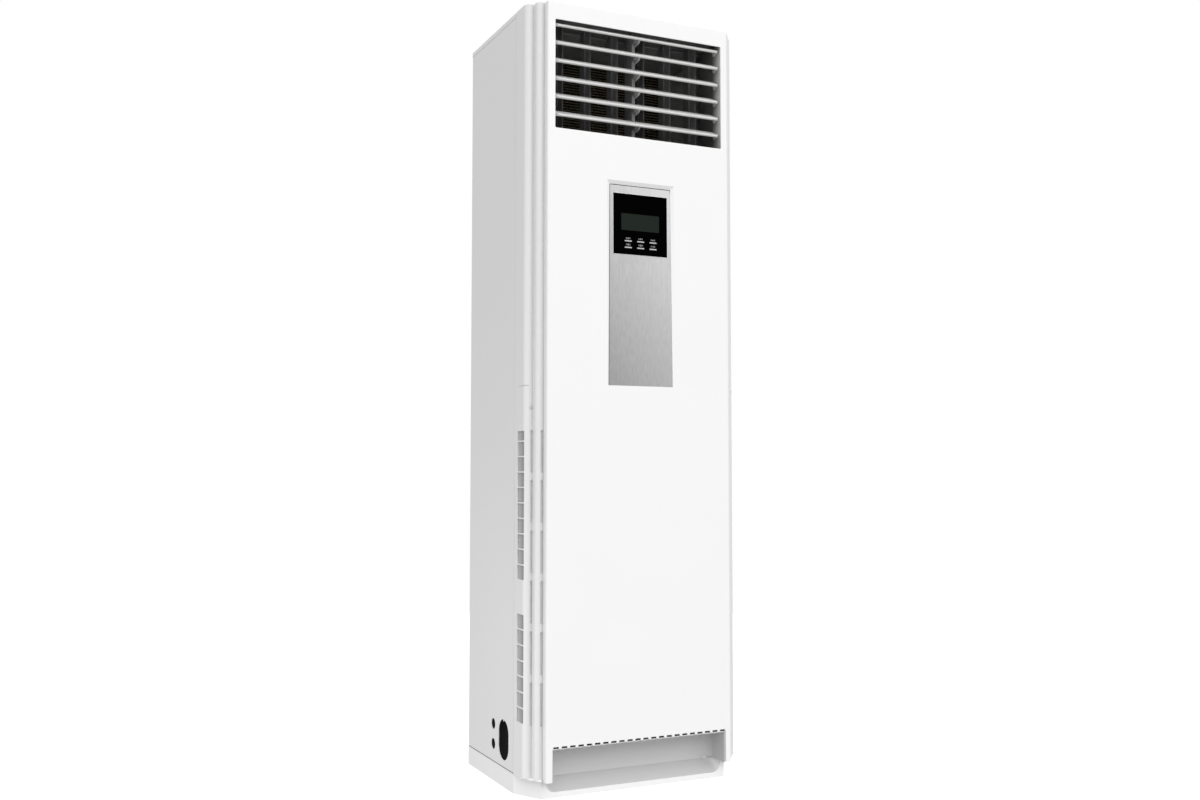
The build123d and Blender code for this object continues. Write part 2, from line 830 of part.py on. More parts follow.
with BuildPart() as centre_post:
    with BuildSketch(facing_right(-post_half)):
        with Locations(((post_front + post_back) / 2, (frame_low + frame_high) / 2)):
            Rectangle(post_back - post_front, frame_high - frame_low - 2 * seat)
        for index in range(louvre_count):
            with Locations((louvre_axis, louvre_axis_height(index))):
                Circle(radius=lug_radius)
            with Locations(((louvre_axis + post_front) / 2, louvre_axis_height(index))):
                Rectangle(post_front - louvre_axis, 2 * lug_radius)
        for index in range(louvre_count):
            with Locations((louvre_axis, louvre_axis_height(index))):
                Circle(radius=centre_pin + running, mode=Mode.SUBTRACT)
    extrude(amount=2 * post_half)
hand_over(centre_post, "centre_post")

# ================================================================== louvres
tilt = math.radians(louvre_tilt)
chord_direction = (0, math.cos(tilt), math.sin(tilt))
crank_along = crank_radius * math.cos(math.radians(crank_angle - louvre_tilt))
crank_across = crank_radius * math.sin(math.radians(crank_angle - louvre_tilt))


def louvre_section(index, x):
    """Plane across a louvre: its x runs back along the chord, its y up off the blade."""
    pivot = (x, behind(louvre_axis), louvre_axis_height(index))
    return Plane(origin=pivot, x_dir=chord_direction, z_dir=(1, 0, 0))


def arm_outline():
    """Web that joins a louvre's blade to the boss on its pivot."""
    reach = louvre_front_chord * 0.6
    Polyline(
        (-reach, louvre_height),
        (reach, louvre_height),
        (arm_boss, 0),
        (-arm_boss, 0),
        close=True,
    )


def make_louvre(index):
    """One louvre: a tapered blade with round front corners, three arms, pins and a crank."""
    with BuildPart() as louvre:
        # blade: a section with a round nose and a thin tail, cut to its plan
        nose = louvre_thickness / 2
        tail = louvre_thickness / 4
        with BuildSketch(louvre_section(index, -louvre_half)):
            with BuildLine():
                Polyline(
                    (nose - louvre_front_chord, louvre_height - nose),
                    (louvre_rear_chord, louvre_height - tail),
                    (louvre_rear_chord, louvre_height + tail),
                    (nose - louvre_front_chord, louvre_height + nose),
                )
                ThreePointArc(
                    (nose - louvre_front_chord, louvre_height + nose),
                    (-louvre_front_chord, louvre_height),
                    (nose - louvre_front_chord, louvre_height - nose),
                )
            make_face()
        extrude(amount=2 * louvre_half)
        blade_plane = Plane(
            origin=(0, behind(louvre_axis), louvre_axis_height(index)),
            x_dir=(1, 0, 0),
            z_dir=(0, -math.sin(tilt), math.cos(tilt)),
        )
        chord_middle = (louvre_rear_chord - louvre_front_chord) / 2
        with BuildSketch(blade_plane) as plan:
            with Locations((0, chord_middle)):
                Rectangle(2 * louvre_half, louvre_front_chord + louvre_rear_chord)
            fillet(plan.vertices().group_by(Axis.Y)[0], radius=louvre_corner)
            with Locations((0, louvre_rear_chord)):
                notch_depth = louvre_rear_chord - notch_start
                Rectangle(2 * post_half + 2 * seam, 2 * notch_depth, mode=Mode.SUBTRACT)
        extrude(amount=2 * louvre_height, mode=Mode.INTERSECT)
        # end arms and their pins in the cheeks
        cheek_inner = frame_half - seat - cheek_thickness
        for sign in (-1, 1):
            with BuildSketch(louvre_section(index, sign * louvre_half)):
                with BuildLine():
                    arm_outline()
                make_face()
                Circle(radius=arm_boss)
            extrude(amount=-sign * arm_thickness)
            with BuildSketch(louvre_section(index, sign * louvre_half)):
                Circle(radius=louvre_pin)
            extrude(amount=sign * (cheek_inner + cheek_thickness - seat - louvre_half))
        # centre arm with its pin in the post's lug, and the crank that the link drives
        with BuildSketch(louvre_section(index, centre_arm)):
            with BuildLine():
                arm_outline()
            make_face()
            Circle(radius=arm_boss)
            with Locations((crank_along, crank_across)):
                Circle(radius=link_half)
            with BuildLine():
                square_off = math.radians(crank_angle - louvre_tilt + 90)
                across = (math.cos(square_off), math.sin(square_off))
                Polyline(
                    (link_half * across[0], link_half * across[1]),
                    (crank_along + link_half * across[0], crank_across + link_half * across[1]),
                    (crank_along - link_half * across[0], crank_across - link_half * across[1]),
                    (-link_half * across[0], -link_half * across[1]),
                    close=True,
                )
            make_face()
        extrude(amount=arm_thickness)
        with BuildSketch(louvre_section(index, centre_arm)):
            Circle(radius=centre_pin)
        extrude(amount=-(centre_arm + post_half - seam / 2))
        with BuildSketch(louvre_section(index, centre_arm + arm_thickness)):
            with Locations((crank_along, crank_across)):
                Circle(radius=crank_pin)
        extrude(amount=play + link_thickness + seam / 2)
    return louvre


for index in range(louvre_count):
    louvre = make_louvre(index)
    hand_over(louvre, f"louvre_{index + 1}")

link_distance = louvre_axis + crank_radius * math.cos(math.radians(crank_angle))
link_drop = crank_radius * math.sin(math.radians(crank_angle))
with BuildPart() as louvre_link:
    with BuildSketch(facing_right(centre_arm + arm_thickness + play)):
        link_middle = (louvre_axis_height(0) + louvre_axis_height(louvre_count - 1)) / 2 + link_drop
        with Locations((link_distance, link_middle)):
            SlotCenterToCenter(
                (louvre_count - 1) * louvre_pitch, 2 * link_half, rotation=90
            )
        for index in range(louvre_count):
            with Locations((link_distance, louvre_axis_height(index) + link_drop)):
                Circle(radius=crank_pin + running, mode=Mode.SUBTRACT)
    extrude(amount=link_thickness)
hand_over(louvre_link, "louvre_link")

# ================================================================== vanes
swing_top = frame_low - frame_wall - seat
vane_link_low = (frame_low + vane_low) / 2 - vane_link_thickness / 2


def make_vane(index):
    """One upright vane with its two pivots and the crank pin under its rear corner."""
    with BuildPart() as vane:
        with BuildSketch(Plane.XY.offset(vane_low)):
            with Locations((vane_x(index), behind(vane_axis))):
                SlotOverall(2 * vane_reach, vane_thickness, rotation=90)
                Circle(radius=vane_pin + vane_thickness / 2)
        extrude(amount=vane_high - vane_low)
        with BuildSketch(Plane.XY.offset(vane_low + 4 * vane_pin)):
            with Locations((vane_x(index), behind(vane_axis))):
                Circle(radius=2 * vane_pin)
                SlotOverall(2 * vane_reach, vane_thickness, rotation=90, mode=Mode.SUBTRACT)
        extrude(amount=vane_high - vane_low - 8 * vane_pin, mode=Mode.SUBTRACT)
        pin_low = frame_low - frame_wall + seat
        if index == 0:
            pin_low = swing_top - swing_flange - swing_depth + seam
        with BuildSketch(Plane.XY.offset(pin_low)):
            with Locations((vane_x(index), behind(vane_axis))):
                Circle(radius=vane_pin)
        extrude(amount=frame_high + frame_wall - seat - pin_low)
        with BuildSketch(Plane.XY.offset(vane_link_low - seat)):
            with Locations((vane_x(index), behind(vane_axis + vane_crank))):
                Circle(radius=crank_pin)
        extrude(amount=vane_low + crank_pin - vane_link_low + seat)
    return vane


for index in range(vane_count):
    vane = make_vane(index)
    hand_over(vane, f"vane_{index + 1}")

with BuildPart() as vane_link:
    with BuildSketch(Plane.XY.offset(vane_link_low)):
        with Locations((0, behind(vane_axis + vane_crank))):
            SlotCenterToCenter((vane_count - 1) * vane_pitch, 2 * link_half)
            with GridLocations(vane_pitch, 0, vane_count, 1):
                Circle(radius=crank_pin + running, mode=Mode.SUBTRACT)
    extrude(amount=vane_link_thickness)
hand_over(vane_link, "vane_link")

with BuildPart() as swing_motor:
    with BuildSketch(Plane.XY.offset(swing_top)):
        with Locations((vane_x(0), behind(vane_axis))):
            SlotOverall(3 * swing_motor_radius, swing_motor_radius)
            Circle(radius=swing_motor_radius)
    extrude(amount=-swing_flange)
    with BuildSketch(Plane.XY.offset(swing_top - swing_flange)):
        with Locations((vane_x(0), behind(vane_axis))):
            Circle(radius=swing_motor_radius)
    extrude(amount=-swing_motor_height)
    with BuildSketch(Plane.XY.offset(swing_top)):
        with Locations((vane_x(0), behind(vane_axis))):
            Circle(radius=vane_pin + running)
    extrude(amount=-swing_flange - swing_depth, mode=Mode.SUBTRACT)
hand_over(swing_motor, "swing_motor")

# ================================================================== control recess fittings
window_middle = (window_low + window_high) / 2
window_rise = window_thickness - trim_thickness


def trim_distance(z):
    """How far behind the panel's face the tilted plate lies at this height."""
    return recess_depth_foot + (z - recess_low) * math.tan(math.radians(recess_tilt))


with BuildPart() as trim_plate:
    with BuildSketch(trim_plane):
        with BuildLine():
            Polyline(*trim_outline(trim_gap), close=True)
        make_face()
    extrude(amount=-trim_thickness)
    with BuildSketch(facing_front(pad_depth)):
        with Locations((0, window_middle)):
            Rectangle(2 * (window_half + trim_gap), window_high - window_low + 2 * trim_gap)
    extrude(amount=pad_depth, mode=Mode.SUBTRACT)
hand_over(trim_plate, "trim_plate")

with BuildPart() as display_window:
    with BuildSketch(trim_plane.offset(window_rise)):
        with Locations((0, window_middle - recess_low)):
            Rectangle(2 * window_half, window_high - window_low)
    extrude(amount=-window_thickness)
    chamfer(display_window.faces().sort_by(Axis.Y)[0].edges(), length=window_rise / 2)
    with BuildSketch(facing_front(pad_depth)):
        for row in key_rows:
            for column in key_columns:
                with Locations((column * key_pitch, row)):
                    Rectangle(key_width + 2 * key_gap, key_height + 2 * key_gap)
        with Locations((0, (lcd_low + lcd_high) / 2)):
            Rectangle(2 * lcd_half, lcd_high - lcd_low)
    extrude(amount=pad_depth, mode=Mode.SUBTRACT)
hand_over(display_window, "display_window")

with BuildPart() as lcd_panel:
    lcd_middle = (lcd_low + lcd_high) / 2
    with BuildSketch(facing_front(board_distance - seat, 0, lcd_middle)):
        Rectangle(2 * (lcd_half - seat), lcd_high - lcd_low - 2 * seat)
    extrude(amount=board_distance - seat - trim_distance(lcd_middle))
    with BuildSketch(facing_front(board_distance - seat, 0, lcd_middle)):
        Rectangle(2 * (lcd_half + board_post), lcd_high - lcd_low + 2 * board_post)
    extrude(amount=board_distance - seat - trim_distance(lcd_high) - trim_thickness - seat)
hand_over(lcd_panel, "lcd_panel")


def key_back(row):
    """Rear end of a key at rest, behind the panel's face."""
    return trim_distance(row) - window_rise - key_proud + key_length


def make_key(column, row):
    """One slim key with the flange that keeps it behind the window."""
    with BuildPart() as key:
        with BuildSketch(facing_front(key_back(row), column * key_pitch, row)) as cap:
            Rectangle(key_width, key_height)
            fillet(cap.vertices(), radius=key_height / 4)
        extrude(amount=key_length)
        flange_front = trim_distance(row) + trim_thickness + seat
        with BuildSketch(facing_front(key_back(row), column * key_pitch, row)):
            Rectangle(key_width + 8 * key_gap, key_height + 8 * key_gap)
        extrude(amount=key_back(row) - flange_front)
    return key


key_places = [(column, row) for row in key_rows for column in key_columns]
for index, (column, row) in enumerate(key_places):
    key = make_key(column, row)
    hand_over(key, f"key_{index + 1}")

with BuildPart() as display_board:
    post_places = (2 * post_row[0] + 6 * board_post, post_row[1])
    with BuildSketch(facing_front(board_distance + board_thickness, 0, window_middle)):
        Rectangle(post_places[0] + 4 * board_post, post_places[1] + 4 * board_post)
        with GridLocations(*post_places, 2, 2):
            Circle(radius=board_post / 2, mode=Mode.SUBTRACT)
    extrude(amount=board_thickness)
    # a push switch under each key
    button_front = key_back(max(key_rows)) + key_travel + seat
    for column, row in key_places:
        with BuildSketch(facing_front(board_distance, column * key_pitch, row)):
            Rectangle(2 * board_post, 2 * board_post)
        extrude(amount=board_distance - button_front - seat)
        with BuildSketch(facing_front(board_distance, column * key_pitch, row)):
            Circle(radius=screw_shank)
        extrude(amount=board_distance - button_front)
    # connector on the back
    connector_height = window_low + 6 * board_post
    with BuildSketch(facing_front(board_distance + board_thickness, lcd_half, connector_height)):
        Rectangle(6 * board_post, 2 * board_post)
    extrude(amount=-1.5 * board_post)
hand_over(display_board, "display_board")

# ================================================================== deck, duct and coil
duct_low = deck_height + sheet + seat
duct_high = frame_high + frame_wall
duct_back = rear_inner - bead_depth - seat
coil_tilt = math.atan2(coil_head - coil_foot, coil_high - coil_low)
coil_length = math.hypot(coil_head - coil_foot, coil_high - coil_low)
scroll_left = scroll_growth / 2
throat_left = -scroll_left
throat_right = scroll_left + scroll_start + 2 * scroll_growth
scroll_top = fan_height + scroll_start


def coil_place(along, across):
    """Distance behind the face and height of a place on the slanted coil."""
    return (
        coil_foot + along * math.sin(coil_tilt) + across * math.cos(coil_tilt),
        coil_low + along * math.cos(coil_tilt) - across * math.sin(coil_tilt),
    )


gas_place = coil_place(gas_tap, tube_row_gap / 2)
liquid_place = coil_place(liquid_tap, -tube_row_gap / 2)

with BuildPart() as deck_plate:
    deck_front = side_front + sheet + seat
    deck_back = duct_back
    with BuildSketch(Plane.XY.offset(deck_height)):
        with Locations((0, behind((deck_front + deck_back) / 2))):
            Rectangle(width - 2 * sheet - 2 * seat, deck_back - deck_front)
        throat_middle = (throat_left + throat_right) / 2
        with Locations((throat_middle, behind((housing_front + housing_back) / 2))):
            Rectangle(
                throat_right - throat_left,
                housing_back - housing_front - 2 * housing_wall,
                mode=Mode.SUBTRACT,
            )
        with Locations((spout_x, behind(spout_distance))):
            Circle(radius=spout_radius + seat, mode=Mode.SUBTRACT)
        with Locations((-leg_x, behind(gas_place[0]))):
            Circle(radius=gas_radius + seat, mode=Mode.SUBTRACT)
        with Locations((-leg_x, behind(liquid_place[0]))):
            Circle(radius=liquid_radius + seat, mode=Mode.SUBTRACT)
    extrude(amount=sheet)
hand_over(deck_plate, "deck_plate")

with BuildPart() as air_duct:
    with BuildSketch(Plane.XY.offset(duct_low)):
        with Locations((0, behind((duct_front + duct_back) / 2))):
            Rectangle(2 * duct_half, duct_back - duct_front)
    extrude(amount=duct_high - duct_low)
    duct_mouth = air_duct.faces().sort_by(Axis.Z)[0]
    offset(amount=-duct_wall, openings=duct_mouth)
    # opening that the outlet frame passes through
    with BuildSketch(facing_front(frame_back + seat)):
        with Locations((0, (frame_low + frame_high) / 2)):
            Rectangle(
                2 * (frame_outer + seat), frame_high - frame_low + 2 * frame_wall + 2 * seat
            )
    extrude(amount=frame_back - duct_front + overcut, mode=Mode.SUBTRACT)
hand_over(air_duct, "air_duct")

with BuildPart() as drain_pan:
    with BuildSketch(Plane.XY.offset(duct_low)):
        with Locations((0, behind((pan_front + pan_back) / 2))):
            Rectangle(2 * pan_half, pan_back - pan_front)
    extrude(amount=pan_depth)
    pan_top = drain_pan.faces().sort_by(Axis.Z)[-1]
    offset(amount=-moulding, openings=pan_top)
    with BuildSketch(Plane.XY.offset(duct_low)):
        with Locations((spout_x, behind(spout_distance))):
            Circle(radius=spout_radius)
    extrude(amount=-spout_length)
    with BuildSketch(Plane.XY.offset(duct_low - spout_length)):
        with Locations((spout_x, behind(spout_distance))):
            Circle(radius=spout_radius - moulding)
    extrude(amount=spout_length + 2 * moulding, mode=Mode.SUBTRACT)
hand_over(drain_pan, "drain_pan")

tube_pitch = coil_length / tube_count
tube_levels = [(index + 0.5) * tube_pitch for index in range(tube_count)]
tube_places = [
    coil_place(level, row * tube_row_gap / 2) for level in tube_levels for row in (-1, 1)
]
coil_plane = Plane(
    origin=(0, behind(coil_foot), coil_low),
    x_dir=(1, 0, 0),
    z_dir=(0, math.sin(coil_tilt), math.cos(coil_tilt)),
)
with BuildPart() as coil_fins:
    fin_count = int(2 * coil_half / fin_pitch)
    with BuildSketch(coil_plane):
        Rectangle(2 * coil_half, coil_thickness)
        with Locations((0, coil_thickness / 2), (0, -coil_thickness / 2)):
            with GridLocations(fin_pitch, 0, fin_count - 1, 1):
                Rectangle(fin_gap, 2 * fin_groove, mode=Mode.SUBTRACT)
    extrude(amount=coil_length)
    with BuildSketch(facing_right(-coil_half)):
        with Locations(*tube_places):
            Circle(radius=tube_radius + running)
    extrude(amount=2 * coil_half, mode=Mode.SUBTRACT)
hand_over(coil_fins, "coil_fins")

with BuildPart() as coil_end_plates:
    half_across = coil_thickness / 2 + coil_end_margin
    pan_floor = duct_low + moulding + seat
    ceiling = duct_high - duct_wall - seat
    for sign in (-1, 1):
        with BuildSketch(facing_right(sign * (coil_half + seat))):
            with BuildLine():
                Polyline(
                    coil_place(-coil_thickness, -half_across),
                    coil_place(coil_length + coil_thickness, -half_across),
                    coil_place(coil_length + coil_thickness, half_across),
                    coil_place(-coil_thickness, half_across),
                    close=True,
                )
            make_face()
            with Locations(((coil_foot + coil_head) / 2, (pan_floor + ceiling) / 2)):
                Rectangle(depth, ceiling - pan_floor, mode=Mode.INTERSECT)
            with Locations(*tube_places):
                Circle(radius=tube_radius + running, mode=Mode.SUBTRACT)
        extrude(amount=sign * end_plate)
hand_over(coil_end_plates, "coil_end_plates")

with BuildPart() as coil_tubes:
    with BuildSketch(facing_right(-header_x)):
        with Locations(*tube_places):
            Circle(radius=tube_radius)
    bend_start = coil_half + 2 * seat + end_plate
    extrude(amount=header_x + bend_start)
    # return bends on the right join the two rows
    for level in tube_levels:
        centre = coil_place(level, 0)
        bend_plane = Plane(
            origin=(bend_start, behind(centre[0]), centre[1]),
            x_dir=(0, math.cos(coil_tilt), -math.sin(coil_tilt)),
            z_dir=(1, 0, 0),
        )
        with BuildSketch(bend_plane):
            with Locations((tube_row_gap / 2, 0)):
                Circle(radius=tube_radius)
        hinge = Axis((bend_start, behind(centre[0]), centre[1]), -coil_plane.z_dir)
        revolve(axis=hinge, revolution_arc=180)
    # headers on the left feed both rows
    header_ends = (
        (-1, liquid_tap, liquid_radius + seam),
        (1, gas_tap, gas_radius),
    )
    for row, tap, radius in header_ends:
        low_end = coil_place(tap - pipe_bend, row * tube_row_gap / 2)
        header_plane = Plane(
            origin=(-header_x, behind(low_end[0]), low_end[1]),
            x_dir=(1, 0, 0),
            z_dir=coil_plane.z_dir,
        )
        with BuildSketch(header_plane):
            Circle(radius=radius)
        extrude(amount=tube_levels[-1] + header_overrun - tap + pipe_bend)
hand_over(coil_tubes, "coil_tubes")


# ================================================================== pipes
def make_pipe(place, header_radius, exit_height, radius):
    """Pipe from its header down through the deck and out to the side port."""
    distance, start_height = place
    with BuildPart() as pipe:
        with BuildLine() as path:
            FilletPolyline(
                (-header_x - header_radius - seat, behind(distance), start_height),
                (-leg_x, behind(distance), start_height),
                (-leg_x, behind(distance), exit_height),
                (-pipe_end, behind(distance), exit_height),
                radius=pipe_bend,
            )
        with BuildSketch(facing_right(-header_x - header_radius - seat)):
            with Locations((distance, start_height)):
                Circle(radius=radius)
        sweep(path=path.line)
    return pipe


gas_pipe = make_pipe(gas_place, gas_radius, gas_exit, gas_radius)
hand_over(gas_pipe, "gas_pipe")
liquid_pipe = make_pipe(liquid_place, liquid_radius + seam, liquid_exit, liquid_radius)
hand_over(liquid_pipe, "liquid_pipe")

with BuildPart() as flare_nuts:
    nuts = (
        (gas_place[0], gas_exit, gas_nut, gas_radius),
        (liquid_place[0], liquid_exit, liquid_nut, liquid_radius),
    )
    for distance, exit_height, nut_radius, radius in nuts:
        with BuildSketch(facing_right(-pipe_end - seam)):
            with Locations((distance, exit_height)):
                RegularPolygon(radius=nut_radius, side_count=6)
                Circle(radius=radius + running, mode=Mode.SUBTRACT)
        extrude(amount=nut_length)
hand_over(flare_nuts, "flare_nuts")

# ================================================================== fan
housing_high = deck_height - seat
fan_axis = Axis((0, front_y, fan_height), (0, 1, 0))


def scroll_outline(grow, top):
    """Spiral of the fan housing from its tongue round to the throat, moved out by grow."""
    first = scroll_start + grow
    second = first + scroll_growth
    third = second + scroll_growth
    slant = math.sqrt(0.5)
    lift = fan_height + scroll_growth
    tongue_height = fan_height + math.sqrt(first**2 - grow**2)
    ThreePointArc(
        (-scroll_left - grow, tongue_height),
        (-scroll_left - first * slant, fan_height + first * slant),
        (-scroll_left - first, fan_height),
    )
    ThreePointArc(
        (scroll_left - second, fan_height),
        (scroll_left - second * slant, fan_height - second * slant),
        (scroll_left, fan_height - second),
    )
    ThreePointArc(
        (scroll_left, lift - third),
        (scroll_left + third * slant, lift - third * slant),
        (scroll_left + third, lift),
    )
    Polyline(
        (scroll_left + third, lift),
        (scroll_left + third, top),
        (-scroll_left - grow, top),
        (-scroll_left - grow, tongue_height),
    )


with BuildPart() as fan_housing:
    with BuildSketch(facing_front(housing_back)) as outer_scroll:
        with BuildLine():
            scroll_outline(housing_wall, housing_high)
        make_face()
        tip = nearest(outer_scroll.vertices(), (-scroll_left, scroll_top, 0))
        fillet(tip, radius=tongue_radius - housing_wall)
    extrude(amount=housing_back - housing_front)
    with BuildSketch(facing_front(housing_back - housing_wall)) as inner_scroll:
        with BuildLine():
            scroll_outline(0, housing_high + overcut)
        make_face()
        tip = nearest(inner_scroll.vertices(), (-scroll_left, scroll_top, 0))
        fillet(tip, radius=tongue_radius)
    extrude(amount=housing_back - housing_front - 2 * housing_wall, mode=Mode.SUBTRACT)
    with BuildSketch(facing_front(housing_front + 2 * housing_wall, 0, fan_height)):
        Circle(radius=inlet_radius)
    extrude(amount=3 * housing_wall, mode=Mode.SUBTRACT)
    with BuildSketch(facing_front(housing_back + housing_wall, 0, fan_height)):
        Circle(radius=motor_boss + seam)
    extrude(amount=3 * housing_wall, mode=Mode.SUBTRACT)
hand_over(fan_housing, "fan_housing")

with BuildPart() as inlet_ring:
    throat = fan_height + inlet_radius - seat
    with BuildSketch(facing_right(0)):
        with BuildLine():
            ring_back = housing_front + wheel_gap
            flare_front = housing_front - inlet_flare / 2
            Polyline((ring_back, throat), (housing_front, throat))
            ThreePointArc(
                (housing_front, throat),
                (housing_front - inlet_flare / 3, throat + inlet_flare / 6),
                (flare_front, throat + inlet_flare / 2),
            )
            Polyline(
                (flare_front, throat + inlet_flare / 2),
                (flare_front - moulding, throat + inlet_flare / 2 - moulding / 2),
            )
            ThreePointArc(
                (flare_front - moulding, throat + inlet_flare / 2 - moulding / 2),
                (housing_front - inlet_flare / 3 - moulding / 2, throat + inlet_flare / 6 - moulding),
                (housing_front - moulding / 2, throat - moulding),
            )
            Polyline(
                (housing_front - moulding / 2, throat - moulding),
                (ring_back, throat - moulding),
                (ring_back, throat),
            )
        make_face()
        flange_middle = housing_front - seat - moulding / 2
        with Locations((flange_middle, throat + inlet_flare / 2 + moulding / 2)):
            Rectangle(moulding, inlet_flare + 2 * moulding)
    revolve(axis=fan_axis)
hand_over(inlet_ring, "inlet_ring")

wheel_front = housing_front + housing_wall + wheel_gap
wheel_back = wheel_front + wheel_width


def polar(radius, degrees):
    """Point at this radius and angle."""
    return (radius * math.cos(math.radians(degrees)), radius * math.sin(math.radians(degrees)))


with BuildSketch(mode=Mode.PRIVATE) as blade_outline:
    blade_turn = math.degrees(blade_thickness / wheel_inner)
    belly = (wheel_inner + wheel_radius) / 2
    with BuildLine():
        ThreePointArc(
            polar(wheel_inner, 0),
            polar(belly, blade_sweep / 4),
            polar(wheel_radius - seat, blade_sweep),
        )
        Line(
            polar(wheel_radius - seat, blade_sweep),
            polar(wheel_radius - seat, blade_sweep + blade_turn),
        )
        ThreePointArc(
            polar(wheel_radius - seat, blade_sweep + blade_turn),
            polar(belly, blade_sweep / 4 + blade_turn),
            polar(wheel_inner, blade_turn),
        )
        Line(polar(wheel_inner, blade_turn), polar(wheel_inner, 0))
    make_face()

with BuildPart() as fan_wheel:
    with BuildSketch(facing_front(wheel_back, 0, fan_height)):
        Circle(radius=wheel_radius)
    extrude(amount=wheel_plate)
    with BuildSketch(facing_front(wheel_back, 0, fan_height)):
        Circle(radius=hub_radius)
    extrude(amount=hub_length)
    with BuildSketch(facing_front(wheel_back - wheel_plate / 2, 0, fan_height)):
        with PolarLocations(0, blade_count):
            add(blade_outline.sketch)
    extrude(amount=wheel_width - wheel_plate)
    with BuildSketch(facing_front(wheel_front + wheel_plate, 0, fan_height)):
        Circle(radius=wheel_radius)
        Circle(radius=wheel_radius - wheel_ring, mode=Mode.SUBTRACT)
    extrude(amount=wheel_plate)
    with BuildSketch(facing_front(wheel_back + overcut, 0, fan_height)):
        Circle(radius=shaft_radius + running)
    extrude(amount=wheel_width, mode=Mode.SUBTRACT)
hand_over(fan_wheel, "fan_wheel")

motor_front = housing_back + seat
with BuildPart() as fan_shaft:
    shaft_back = motor_front + motor_bore - seam
    with BuildSketch(facing_front(shaft_back, 0, fan_height)):
        Circle(radius=shaft_radius)
    extrude(amount=shaft_back - wheel_back + hub_length + shaft_radius)
hand_over(fan_shaft, "fan_shaft")

with BuildPart() as fan_motor:
    with BuildSketch(facing_front(motor_front + motor_length, 0, fan_height)):
        Circle(radius=motor_radius)
    extrude(amount=motor_length)
    fillet(fan_motor.edges().group_by(Axis.Y)[-1], radius=motor_radius / 8)
    with BuildSketch(facing_front(motor_front, 0, fan_height)):
        Circle(radius=motor_boss)
    extrude(amount=housing_wall)
    with BuildSketch(facing_front(motor_front + motor_bore, 0, fan_height)):
        Circle(radius=shaft_radius + running)
    extrude(amount=motor_bore + 2 * housing_wall, mode=Mode.SUBTRACT)
hand_over(fan_motor, "fan_motor")

# ================================================================== electrics
box_rear = duct_front - seat
tray_rim = box_front + sheet + seat
box_middle = ((box_left + box_right) / 2, (box_low + box_high) / 2)
box_size = (box_right - box_left, box_high - box_low)

with BuildPart() as electrical_box:
    with BuildSketch(facing_front(box_rear, *box_middle)):
        Rectangle(*box_size)
    extrude(amount=box_rear - tray_rim)
    tray_mouth = electrical_box.faces().sort_by(Axis.Y)[0]
    offset(amount=-sheet, openings=tray_mouth)
hand_over(electrical_box, "electrical_box")

with BuildPart() as box_cover:
    lap = 2 * (sheet + seat)
    with BuildSketch(facing_front(box_front + side_return, *box_middle)):
        Rectangle(box_size[0] + lap, box_size[1] + lap)
    extrude(amount=side_return)
    cover_mouth = box_cover.faces().sort_by(Axis.Y)[-1]
    offset(amount=-sheet, openings=cover_mouth)
    with BuildSketch(facing_front(box_front + 2 * sheet, box_middle[0], box_high - 3 * side_return)):
        with GridLocations(2 * side_return, 0, bead_count + 1, 1):
            SlotOverall(1.5 * side_return, 3 * sheet, rotation=90)
    extrude(amount=3 * sheet, mode=Mode.SUBTRACT)
hand_over(box_cover, "box_cover")

tray_floor = box_rear - sheet - seat
with BuildPart() as control_board:
    board_face = tray_floor - standoff
    board_size = (box_size[0] * 0.62, box_size[1] * 0.84)
    board_middle = (box_left + sheet + seat + standoff + board_size[0] / 2, box_middle[1])
    with BuildSketch(facing_front(board_face, *board_middle)):
        Rectangle(*board_size)
    extrude(amount=circuit_thickness)
    with BuildSketch(facing_front(tray_floor, *board_middle)):
        with GridLocations(board_size[0] - 2 * standoff, board_size[1] - 2 * standoff, 2, 2):
            Circle(radius=board_post)
    extrude(amount=standoff + circuit_thickness / 2)
    # heat sink, relays, transformer and two round parts
    lumps = (
        (-0.25, 0.32, 0.40, 0.22, 26.0),
        (0.28, 0.30, 0.26, 0.20, 20.0),
        (0.28, 0.02, 0.16, 0.12, 15.0),
        (-0.02, 0.02, 0.16, 0.12, 15.0),
        (-0.26, -0.28, 0.30, 0.14, 9.0),
        (0.24, -0.36, 0.40, 0.07, 10.0),
    )
    for along, up, wide, tall, rise in lumps:
        place = (board_middle[0] + along * board_size[0], board_middle[1] + up * board_size[1])
        with BuildSketch(facing_front(board_face - circuit_thickness / 2, *place)):
            Rectangle(wide * board_size[0], tall * board_size[1])
        extrude(amount=rise)
    with BuildSketch(facing_front(board_face - circuit_thickness / 2, *board_middle)):
        with Locations((-0.32 * board_size[0], -0.02 * board_size[1])):
            with GridLocations(3 * standoff, 0, 2, 1):
                Circle(radius=standoff)
    extrude(amount=3 * standoff)
hand_over(control_board, "control_board")

with BuildPart() as terminal_block:
    block_size = (terminal_ways * terminal_pitch, 2 * terminal_pitch)
    block_place = (
        box_right - sheet - standoff - block_size[0] / 2,
        box_low + sheet + standoff + block_size[1] / 2,
    )
    with BuildSketch(facing_front(tray_floor, *block_place)):
        Rectangle(*block_size)
    extrude(amount=1.5 * terminal_pitch)
    with BuildSketch(facing_front(tray_floor - terminal_pitch, *block_place)):
        with GridLocations(terminal_pitch, 0, terminal_ways, 1):
            Rectangle(terminal_pitch - 2 * board_thickness, block_size[1] + 2 * overcut)
    extrude(amount=terminal_pitch, mode=Mode.SUBTRACT)
    with BuildSketch(facing_front(tray_floor - terminal_pitch, *block_place)):
        with GridLocations(terminal_pitch, terminal_pitch, terminal_ways, 2):
            Circle(radius=screw_head)
    extrude(amount=screw_head_height)
hand_over(terminal_block, "terminal_block")

